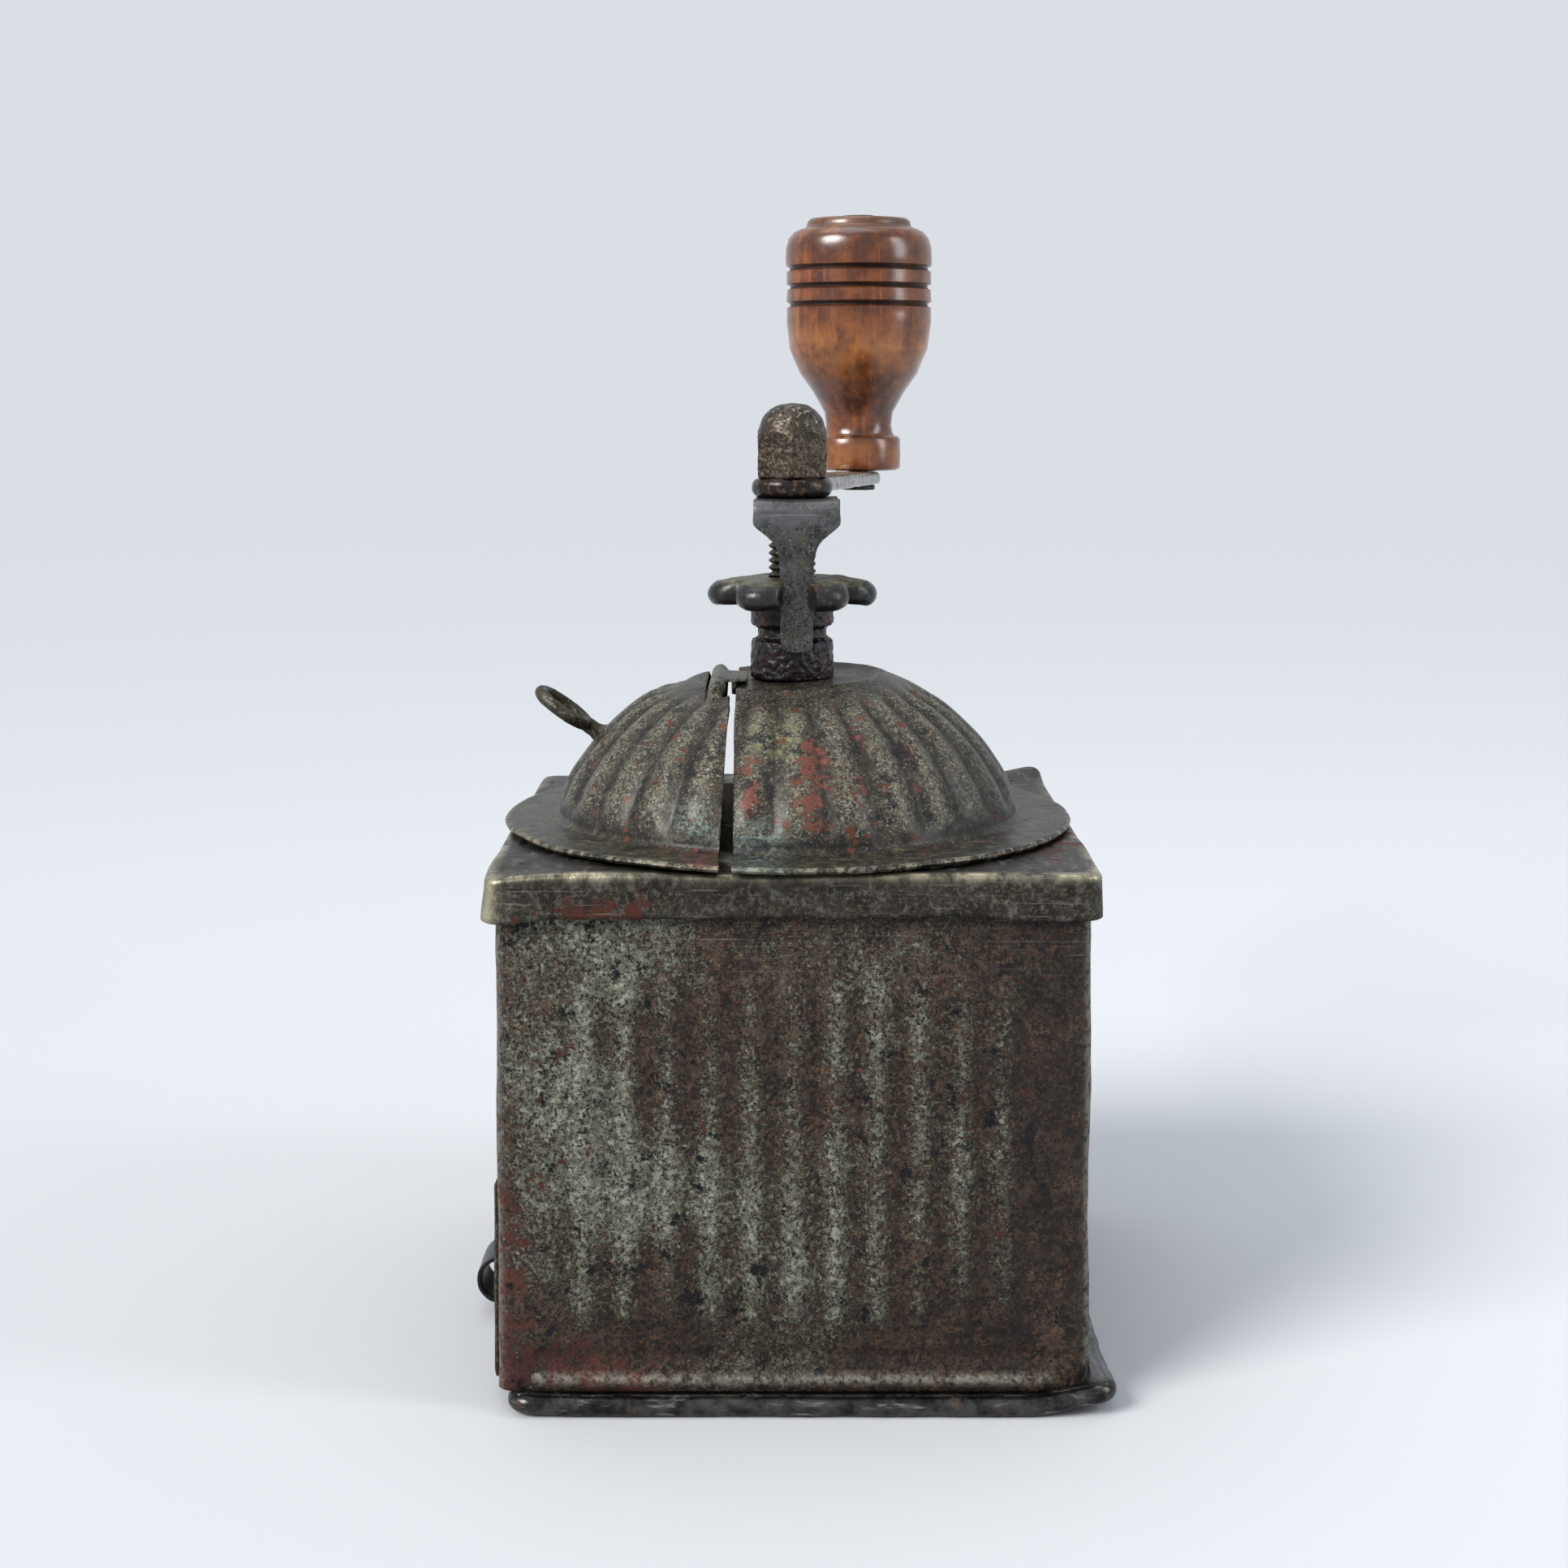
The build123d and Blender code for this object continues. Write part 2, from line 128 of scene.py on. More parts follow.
def lathe(name, profile, steps=96, centre=(0, 0), crease=40):
    """A turned piece about an upright axis."""
    points = []
    for r, z in profile:
        for j in range(steps):
            a = 2 * math.pi * j / steps
            points.append((centre[0] + r * math.cos(a), centre[1] + r * math.sin(a), z))
    obj = make_object(name, points, grid_faces(len(profile), steps, True), crease)
    weld(obj)
    return obj


def tube(name, path, radius, closed=False, sides=14):
    """A round bar that follows a path in mm; radius is one number or one per point."""
    path = np.array(path, float)
    count = len(path)
    radii = np.broadcast_to(radius, (count,))
    points = []
    side = None
    for i in range(count):
        before = path[(i - 1) % count] if closed or i else path[i]
        after = path[(i + 1) % count] if closed or i < count - 1 else path[i]
        ahead = (after - before) / np.linalg.norm(after - before)
        if side is None:
            side = np.cross(ahead, (0, 0, 1.0) if abs(ahead[2]) < 0.9 else (0, 1.0, 0))
        side = side - ahead * np.dot(side, ahead)
        side /= np.linalg.norm(side)
        up = np.cross(side, ahead)
        for j in range(sides):
            a = 2 * math.pi * j / sides
            points.append(path[i] + radii[i] * (side * math.cos(a) + up * math.sin(a)))
    faces = grid_faces(count, sides, True)
    if closed:
        last = (count - 1) * sides
        faces += [(last + j, last + (j + 1) % sides, (j + 1) % sides, j) for j in range(sides)]
    else:
        faces += [tuple(range(sides))[::-1], tuple((count - 1) * sides + j for j in range(sides))]
    return make_object(name, points, faces)


def weld(obj, distance=2e-5):
    """Merges doubled points and turns the faces outwards."""
    bm = bmesh.new()
    bm.from_mesh(obj.data)
    bmesh.ops.remove_doubles(bm, verts=bm.verts, dist=distance)
    bmesh.ops.dissolve_degenerate(bm, edges=bm.edges, dist=1e-7)
    bmesh.ops.recalc_face_normals(bm, faces=bm.faces)
    bm.to_mesh(obj.data)
    bm.free()
    obj.data.polygons.foreach_set("use_smooth", [True] * len(obj.data.polygons))


def thicken(obj, depth):
    """Gives a sheet its thickness, inwards from the modelled face."""
    solid = obj.modifiers.new("sheet", "SOLIDIFY")
    solid.thickness = depth * 0.001
    solid.offset = -1
    solid.use_even_offset = True
    return obj


def lumps(p, scale, amount, seed=0.0):
    """Smooth noise at a point in mm."""
    return amount * noise.noise(Vector((p[0] * scale + seed, p[1] * scale - seed, p[2] * scale + 2 * seed)))


def soft_copy(node, name, voxel, rounds=2, roughness=0.0, scale=0.5, shift=None):
    """A copy of a CAD node with rounded edges and a slightly uneven surface."""
    mesh = nodes[node].data.copy()
    source = bpy.data.objects.new(name, mesh)
    bpy.context.scene.collection.objects.link(source)
    remesh = source.modifiers.new("remesh", "REMESH")
    remesh.mode = "VOXEL"
    remesh.voxel_size = voxel * 0.001
    even = source.modifiers.new("even", "SMOOTH")
    even.factor = 0.5
    even.iterations = rounds
    bpy.context.view_layer.update()
    shown = source.evaluated_get(bpy.context.evaluated_depsgraph_get())
    fine = bpy.data.meshes.new_from_object(shown)
    bpy.data.objects.remove(source)
    bpy.data.meshes.remove(mesh)
    normals = [v.normal.copy() for v in fine.vertices]
    for v, n in zip(fine.vertices, normals):
        p = v.co * 1000
        move = lumps(p, scale, roughness) + lumps(p, scale * 2.7, roughness * 0.5, 7)
        p = p + n * move
        if shift:
            p = p + Vector(shift(p))
        v.co = p * 0.001
    fine.materials.clear()
    fine.polygons.foreach_set("use_smooth", [True] * len(fine.polygons))
    fine.name = name
    obj = bpy.data.objects.new(name, fine)
    bpy.context.scene.collection.objects.link(obj)
    return obj


def paint_values(obj, name, value):
    """Stores a number per point, from a function of the point in mm."""
    layer = obj.data.attributes.new(name, "FLOAT", "POINT")
    layer.data.foreach_set("value", [float(value(v.co * 1000)) for v in obj.data.vertices])


def step(x, low, high):
    """Smooth step from 0 at low to 1 at high."""
    t = min(max((x - low) / (high - low), 0.0), 1.0)
    return t * t * (3 - 2 * t)


def bump_at(x, centre, width):
    """A smooth hump of height 1."""
    return math.exp(-((x - centre) / width) ** 2)


# ---------------------------------------------------------------- materials
def link_value(tree, node, socket, value):
    if isinstance(value, bpy.types.NodeSocket):
        tree.links.new(value, node.inputs[socket])
    else:
        node.inputs[socket].default_value = value


def mixed(tree, kind, factor, a, b):
    """A colour or number mix, as an output socket."""
    node = tree.nodes.new("ShaderNodeMix")
    node.data_type = kind
    first = {"RGBA": 6, "FLOAT": 2}[kind]
    link_value(tree, node, 0, factor)
    link_value(tree, node, first, a)
    link_value(tree, node, first + 1, b)
    return node.outputs[{"RGBA": 2, "FLOAT": 0}[kind]]


def maths(tree, operation, a, b, clamp=False):
    node = tree.nodes.new("ShaderNodeMath")
    node.operation = operation
    node.use_clamp = clamp
    link_value(tree, node, 0, a)
    link_value(tree, node, 1, b)
    return node.outputs[0]


def pattern(tree, coords, scale, detail=6.0, rough=0.6, stretch=(1, 1, 1), seed=0.0):
    """Noise with a scale in features per mm."""
    place = tree.nodes.new("ShaderNodeMapping")
    place.inputs["Scale"].default_value = [s * scale * 1000 for s in stretch]
    place.inputs["Location"].default_value = (seed, seed * 1.7, -seed)
    tree.links.new(coords, place.inputs["Vector"])
    tex = tree.nodes.new("ShaderNodeTexNoise")
    tex.inputs["Scale"].default_value = 1.0
    tex.inputs["Detail"].default_value = detail
    tex.inputs["Roughness"].default_value = rough
    tree.links.new(place.outputs[0], tex.inputs["Vector"])
    return tex.outputs["Fac"]


def ramp(tree, value, low, high):
    node = tree.nodes.new("ShaderNodeMapRange")
    node.interpolation_type = "SMOOTHSTEP"
    node.inputs["From Min"].default_value = low
    node.inputs["From Max"].default_value = high
    tree.links.new(value, node.inputs["Value"])
    return node.outputs[0]


def attribute(tree, name):
    node = tree.nodes.new("ShaderNodeAttribute")
    node.attribute_name = name
    return node.outputs["Fac"]


materials = {}


def weathered(name, base, layers, rough=0.6, metal=0.0, grain=0.04, grain_scale=2.0, coat=0.0, specular=0.5):
    """A finish built up in layers, kept in materials under its name. base is two colours mixed by broad noise.
    Each layer is a dict with colour, scale, low and high (noise limits), and optionally detail, grit, stretch, seed,
    near (an attribute that adds to the noise), gain, only (an attribute that limits the layer), share, rough, metal
    and height in mm."""
    mat = bpy.data.materials.new(name)
    mat.use_nodes = True
    tree = mat.node_tree
    shader = tree.nodes["Principled BSDF"]
    coords = tree.nodes.new("ShaderNodeTexCoord").outputs["Object"]
    colour = mixed(tree, "RGBA", ramp(tree, pattern(tree, coords, 0.22, 8, 0.65, seed=3.0), 0.35, 0.65),
                   *[(*shade, 1) for shade in base])
    roughness, metallic, height = rough, metal, 0.0
    for i, layer in enumerate(layers):
        value = pattern(tree, coords, layer["scale"], layer.get("detail", 6.0), layer.get("grit", 0.62),
                        layer.get("stretch", (1, 1, 1)), layer.get("seed", 1.3 * i + 0.7))
        if "near" in layer:
            value = maths(tree, "ADD", value, maths(tree, "MULTIPLY", attribute(tree, layer["near"]),
                                                    layer.get("gain", 0.2)))
        factor = ramp(tree, value, layer["low"], layer["high"])
        if "only" in layer:
            factor = maths(tree, "MULTIPLY", factor, attribute(tree, layer["only"]), True)
        if "share" in layer:
            factor = maths(tree, "MULTIPLY", factor, layer["share"])
        colour = mixed(tree, "RGBA", factor, colour, (*layer["colour"], 1))
        if "rough" in layer:
            roughness = mixed(tree, "FLOAT", factor, roughness, layer["rough"])
        if "metal" in layer:
            metallic = mixed(tree, "FLOAT", factor, metallic, layer["metal"])
        if "height" in layer:
            height = maths(tree, "ADD", height, maths(tree, "MULTIPLY", factor, layer["height"]))
    fine = pattern(tree, coords, grain_scale, 5, 0.65, seed=11.0)
    height = maths(tree, "ADD", height, maths(tree, "MULTIPLY", fine, grain))
    roughness = maths(tree, "ADD", roughness, maths(tree, "MULTIPLY", fine, 0.12))
    bump = tree.nodes.new("ShaderNodeBump")
    bump.inputs["Distance"].default_value = 0.001
    bump.inputs["Strength"].default_value = 1.0
    tree.links.new(height, bump.inputs["Height"])
    tree.links.new(bump.outputs[0], shader.inputs["Normal"])
    tree.links.new(colour, shader.inputs["Base Color"])
    link_value(tree, shader, "Roughness", roughness)
    link_value(tree, shader, "Metallic", metallic)
    shader.inputs["Coat Weight"].default_value = coat
    shader.inputs["Coat Roughness"].default_value = 0.25
    shader.inputs["Specular IOR Level"].default_value = specular
    materials[name] = mat


brick = (0.098, 0.034, 0.024)
pit_black = (0.008, 0.009, 0.013)

weathered("body_paint", ((0.016, 0.011, 0.008), (0.058, 0.041, 0.031)), [
        dict(colour=(0.098, 0.064, 0.042), scale=0.9, low=0.49, high=0.58, rough=0.55, share=0.85, detail=9),
        dict(colour=(0.165, 0.066, 0.026), scale=1.4, low=0.6, high=0.63, rough=0.7, detail=8),
        dict(colour=(0.15, 0.15, 0.112), scale=1.05, low=0.6, high=0.615, near="paint", gain=0.15, rough=0.42,
             height=0.1, detail=11, grit=0.8),
        dict(colour=(0.285, 0.287, 0.228), scale=0.6, low=0.64, high=0.652, near="paint", gain=0.15, rough=0.38,
             height=0.08, detail=13, grit=0.84),
        # painted shade: near-black between the flute ridges, so the valleys read darker
        dict(colour=(0.016, 0.01, 0.008), scale=0.5, low=0.44, high=0.6, only="valley_shade", share=0.6, detail=9,
             grit=0.75),
        dict(colour=(0.014, 0.009, 0.007), scale=1.7, low=0.555, high=0.59, rough=0.6, height=-0.07, detail=8,
             grit=0.7),
        dict(colour=brick, scale=0.26, low=0.65, high=0.662, near="primer", gain=0.18, rough=0.5, height=-0.03,
             detail=11, grit=0.72),
        dict(colour=pit_black, scale=0.22, low=0.595, high=0.61, rough=0.3, height=-0.12, detail=10, grit=0.74),
        # painted shade: darker on the right side, at the bottom and under the cover's edge, over an even darker tone
        dict(colour=(0.01, 0.007, 0.006), scale=0.09, low=0.26, high=0.6, only="tone_and_shade", share=0.58),
        dict(colour=(0.2, 0.2, 0.175), scale=0.22, stretch=(0.2, 0.2, 22), low=0.63, high=0.68,
             only="scratch", rough=0.35, detail=3, share=0.7),
        # painted highlight: bright metal along the corner edges and the bottom bead
        dict(colour=(0.32, 0.3, 0.25), scale=0.6, low=0.38, high=0.58, only="edge", rough=0.28, metal=0.9,
             detail=9, share=0.8),
    ], rough=0.36, metal=0.2, grain=0.14, grain_scale=1.6, specular=0.42)

weathered("cover_tin", ((0.022, 0.018, 0.014), (0.052, 0.046, 0.038)), [
        dict(colour=(0.125, 0.12, 0.108), scale=0.5, stretch=(1, 0.35, 1), low=0.5, high=0.7, rough=0.38,
             metal=0.5),
        dict(colour=(0.12, 0.112, 0.074), scale=1.1, low=0.5, high=0.62, only="skirt", rough=0.36, height=0.04,
             detail=11, grit=0.78),
        dict(colour=(0.022, 0.015, 0.011), scale=1.6, low=0.56, high=0.63, only="skirt", rough=0.6, detail=6,
             height=-0.04),
        dict(colour=(0.085, 0.03, 0.021), scale=0.24, low=0.645, high=0.665, near="primer", gain=0.21, rough=0.5,
             detail=11, grit=0.74),
        dict(colour=(0.024, 0.019, 0.016), scale=0.3, low=0.56, high=0.66, rough=0.5, share=0.8),
        # painted highlight: bright metal along the folded top edge, stronger at the front and on the flared
        # front-left corner
        dict(colour=(0.5, 0.46, 0.33), scale=0.22, stretch=(1, 1, 0.4), low=0.34, high=0.62, only="edge",
             rough=0.22, metal=1.0, detail=10, grit=0.7),
        dict(colour=(0.2, 0.19, 0.17), scale=0.35, stretch=(0.12, 6, 6), low=0.62, high=0.68, rough=0.3,
             metal=0.8, detail=3, share=0.7),
    ], rough=0.34, metal=0.6, grain=0.1, grain_scale=1.3)

weathered("dome_tin", ((0.018, 0.014, 0.011), (0.058, 0.05, 0.036)), [
        # paint speckle biased onto the flute crests; the crest bias is a painted highlight
        dict(colour=(0.125, 0.114, 0.082), scale=1.0, low=0.55, high=0.61, near="ridge", gain=0.08, rough=0.46,
             height=0.03, detail=10, grit=0.75),
        dict(colour=(0.255, 0.245, 0.19), scale=2.1, low=0.58, high=0.64, near="ridge", gain=0.05, rough=0.4,
             height=0.03, detail=6),
        dict(colour=(0.26, 0.26, 0.12), scale=0.5, low=0.5, high=0.6, only="lichen", rough=0.6, height=0.05,
             detail=9),
        dict(colour=(0.17, 0.062, 0.042), scale=0.42, low=0.652, high=0.668, near="primer", gain=0.19, rough=0.45,
             height=0.06, detail=11, grit=0.76),
        # painted shade: near-black in the dome's flute valleys
        dict(colour=(0.012, 0.01, 0.008), scale=0.7, low=0.38, high=0.6, only="valley_shade", share=0.8, detail=9,
             grit=0.74),
        dict(colour=pit_black, scale=0.28, low=0.585, high=0.615, rough=0.3, height=-0.05, detail=10, share=0.75),
        dict(colour=(0.235, 0.3, 0.275), scale=0.8, low=0.46, high=0.56, only="patina", rough=0.45, height=0.04,
             detail=9, grit=0.78),
        # painted shade in the crease at the dome's foot and on the dome's right side
        dict(colour=(0.014, 0.011, 0.009), scale=0.35, low=0.3, high=0.6, only="dome_shade", rough=0.32),
        dict(colour=(0.12, 0.04, 0.02), scale=0.3, low=0.62, high=0.65, rough=0.6, detail=9),
        # painted highlight: bright metal on the front half of the brim's rim
        dict(colour=(0.5, 0.47, 0.36), scale=0.5, low=0.46, high=0.6, only="edge", rough=0.28, metal=0.9,
             detail=10, share=0.5),
    ], rough=0.32, metal=0.4, grain=0.18, grain_scale=1.2, coat=0.15)

weathered("base_tin", ((0.03, 0.028, 0.027), (0.105, 0.101, 0.097)), [
        dict(colour=(0.24, 0.24, 0.245), scale=0.5, stretch=(0.3, 0.3, 2), low=0.55, high=0.68, rough=0.25,
             metal=0.95),
        dict(colour=(0.045, 0.026, 0.016), scale=0.25, low=0.6, high=0.68, rough=0.65, metal=0.1),
    ], rough=0.2, metal=0.9, grain=0.06, grain_scale=1.0)

weathered("inner_tin", ((0.16, 0.15, 0.13), (0.25, 0.24, 0.215)), [
        dict(colour=(0.085, 0.055, 0.032), scale=0.12, low=0.52, high=0.66, rough=0.6, metal=0.3),
        dict(colour=(0.36, 0.35, 0.32), scale=0.5, stretch=(0.2, 1, 1), low=0.58, high=0.66, rough=0.35),
    ], rough=0.42, metal=0.75, grain=0.03)

weathered("cast_black", ((0.006, 0.004, 0.004), (0.015, 0.009, 0.008)), [
        dict(colour=(0.07, 0.026, 0.017), scale=0.2, low=0.5, high=0.62, only="bare", rough=0.3),
        dict(colour=(0.06, 0.02, 0.014), scale=0.45, low=0.62, high=0.66, rough=0.3, share=0.8),
    ], rough=0.22, metal=0.0, grain=0.22, grain_scale=0.9, coat=0.15, specular=0.35)

weathered("burr_iron", ((0.065, 0.062, 0.058), (0.12, 0.117, 0.112)), [
        dict(colour=(0.08, 0.042, 0.022), scale=0.3, low=0.56, high=0.68, rough=0.6, metal=0.3),
    ], rough=0.4, metal=0.85, grain=0.06)

weathered("nut_steel", ((0.01, 0.01, 0.01), (0.03, 0.028, 0.026)), [
        dict(colour=(0.095, 0.09, 0.082), scale=0.9, low=0.57, high=0.66, rough=0.25, metal=0.8),
        dict(colour=(0.12, 0.11, 0.066), scale=1.1, low=0.4, high=0.6, only="dust", rough=0.75, metal=0.0,
             height=0.03, detail=10, grit=0.75),
        dict(colour=(0.075, 0.03, 0.016), scale=0.3, low=0.62, high=0.68, rough=0.6),
    ], rough=0.24, metal=0.45, grain=0.14, grain_scale=0.9, coat=0.25)

weathered("spindle_steel", ((0.028, 0.022, 0.016), (0.07, 0.058, 0.042)), [
        dict(colour=(0.155, 0.14, 0.1), scale=0.9, low=0.54, high=0.64, rough=0.5, metal=0.4),
    ], rough=0.42, metal=0.6, grain=0.06)

weathered("strip_steel", ((0.055, 0.054, 0.052), (0.105, 0.104, 0.102)), [
        dict(colour=(0.22, 0.215, 0.195), scale=2.0, low=0.57, high=0.65, rough=0.32, detail=5),
        dict(colour=(0.02, 0.017, 0.015), scale=1.7, low=0.545, high=0.62, rough=0.5, detail=6, share=0.85),
        dict(colour=(0.12, 0.1, 0.062), scale=0.3, low=0.52, high=0.7, rough=0.55, share=0.6),
        # painted highlight: bright metal on the strip's head and its bend over the top
        dict(colour=(0.17, 0.175, 0.185), scale=0.4, low=0.34, high=0.6, only="head_highlight", rough=0.26, metal=0.9,
             share=0.7, detail=8),
    ], rough=0.32, metal=0.7, grain=0.09, grain_scale=1.8)

weathered("arm_steel", ((0.24, 0.23, 0.215), (0.42, 0.41, 0.39)), [
        dict(colour=(0.085, 0.062, 0.048), scale=0.6, low=0.56, high=0.64, rough=0.45, metal=0.4, detail=8),
        dict(colour=(0.018, 0.012, 0.01), scale=0.5, low=0.18, high=0.3, only="eye", rough=0.2, metal=0.3),
        dict(colour=(0.095, 0.06, 0.036), scale=0.8, low=0.54, high=0.64, only="eye", rough=0.3),
    ], rough=0.24, metal=0.95, grain=0.05, grain_scale=1.1)

weathered("acorn_steel", ((0.03, 0.023, 0.017), (0.072, 0.055, 0.04)), [
        dict(colour=(0.145, 0.105, 0.062), scale=1.5, low=0.5, high=0.6, only="flats", rough=0.5, metal=0.3,
             detail=8, grit=0.75),
        dict(colour=(0.022, 0.013, 0.01), scale=1.3, low=0.54, high=0.62, rough=0.5, height=-0.05, detail=7),
        # painted highlight: bright metal specks on the top of the nut's dome
        dict(colour=(0.34, 0.31, 0.25), scale=1.0, low=0.56, high=0.64, only="crown", rough=0.22, metal=0.95,
             detail=7),
    ], rough=0.26, metal=0.6, grain=0.12, grain_scale=1.6, coat=0.15)

weathered("knob_wood", ((0.085, 0.022, 0.006), (0.2, 0.06, 0.013)), [
        dict(colour=(0.33, 0.115, 0.026), scale=0.5, stretch=(1, 1, 0.07), low=0.52, high=0.74, rough=0.28),
        dict(colour=(0.045, 0.014, 0.006), scale=0.9, stretch=(1, 1, 0.05), low=0.56, high=0.7, share=0.8),
        dict(colour=(0.42, 0.17, 0.048), scale=0.1, low=0.36, high=0.62, only="rubbed", share=0.75),
        # darker overall and towards the top, with painted shade in the neck under the bulb and in the crease above
        # the foot's collar
        dict(colour=(0.04, 0.013, 0.006), scale=0.16, low=0.34, high=0.62, only="neck_shade_and_tone", share=0.9, detail=6),
        dict(colour=(0.085, 0.05, 0.028), scale=0.25, low=0.35, high=0.62, only="worn_top", rough=0.5),
        # painted shade: near black in the turned grooves
        dict(colour=(0.004, 0.003, 0.003), scale=1.0, low=0.05, high=0.15, only="groove", rough=0.5),
    ], rough=0.2, grain=0.03, grain_scale=0.8, coat=0.6)

weathered("pull_black", ((0.008, 0.008, 0.009), (0.022, 0.022, 0.024)), [
        dict(colour=(0.09, 0.08, 0.07), scale=0.6, low=0.62, high=0.68, rough=0.4, metal=0.5),
    ], rough=0.26, metal=0.3, grain=0.05)

weathered("small_steel", ((0.03, 0.026, 0.019), (0.078, 0.068, 0.048)), [
        dict(colour=(0.2, 0.19, 0.145), scale=1.2, low=0.55, high=0.65, rough=0.34, metal=0.8, detail=9),
        dict(colour=(0.018, 0.013, 0.01), scale=0.8, low=0.56, high=0.65, rough=0.5, height=-0.04),
    ], rough=0.34, metal=0.55, grain=0.12, grain_scale=1.5)

weathered("solder", ((0.045, 0.042, 0.034), (0.125, 0.12, 0.1)), [
        dict(colour=(0.016, 0.014, 0.012), scale=0.8, low=0.5, high=0.6, rough=0.6, height=-0.1),
    ], rough=0.42, metal=0.3, grain=0.3, grain_scale=0.9)


def place(obj, body, slot, *replaced):
    """Gives a piece its finish, its body and the CAD node it stands for."""
    obj.data.materials.clear()
    obj.data.materials.append(materials[slot])
    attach(obj, body)
    if replaced:
        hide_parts(*replaced)
    return obj


# ---------------------------------------------------------------- body shell
def perimeter(hw, hd, corner, pitch, marks=()):
    """Points round an upright box with rounded corners.
    Each is (x, y, normal x, normal y, side, distance along the side)."""
    out = []
    sides = [(-hw + corner, hw - corner, lambda t: (t, -hd), (0, -1), "front"),
             (-hd + corner, hd - corner, lambda t: (hw, t), (1, 0), "right"),
             (hw - corner, -hw + corner, lambda t: (t, hd), (0, 1), "back"),
             (hd - corner, -hd + corner, lambda t: (-hw, t), (-1, 0), "left")]
    centres = [(hw - corner, -hd + corner), (hw - corner, hd - corner), (-hw + corner, hd - corner),
               (-hw + corner, -hd + corner)]
    for i, (a, b, at, normal, side) in enumerate(sides):
        stops = list(np.linspace(a, b, int(abs(b - a) / pitch) + 1))
        if side == "left":
            stops = sorted(set(stops) | set(marks), reverse=True)
        for t in stops:
            x, y = at(t)
            out.append((x, y, *normal, side, t))
        for k in range(1, 6):
            angle = math.radians(-90 + 90 * i + 15 * k)
            c, s = math.cos(angle), math.sin(angle)
            out.append((centres[i][0] + corner * c, centres[i][1] + corner * s, c, s, "corner", 0.0))
    return out


flute_pitch = 7.8
flute_z = (13.7, 83.3)


def body_relief(side, along, z):
    """How far the pressed body stands out from its flat face, in mm, how much of that is flute, and a valley measure
    that carries painted shade between the flutes.
    """
    low = 46.0 if side == "left" else flute_z[0]
    reach = 5.5 * flute_pitch
    window = step(z, low, low + 5) * (1 - step(z, flute_z[1] - 5, flute_z[1]))
    window *= 1 - step(abs(along), reach - 1.0, reach + 1.5)
    wave = 0.5 + 0.5 * math.cos(2 * math.pi * along / flute_pitch)
    ridge = window * wave
    height = 1.0 * ridge
    if side in ("front", "back", "right"):
        end = half_w - 9 if side != "right" else half_d - 9
        inside = 1 - step(abs(along), end, end + 3.0)
        t = (z - 5.5) / 1.9
        if abs(t) < 1:
            height += 1.15 * math.sqrt(1 - t * t) * inside
        height -= 0.55 * bump_at(z, 10.2, 1.9) * inside
    return height, ridge, window * (1 - wave) ** 1.5


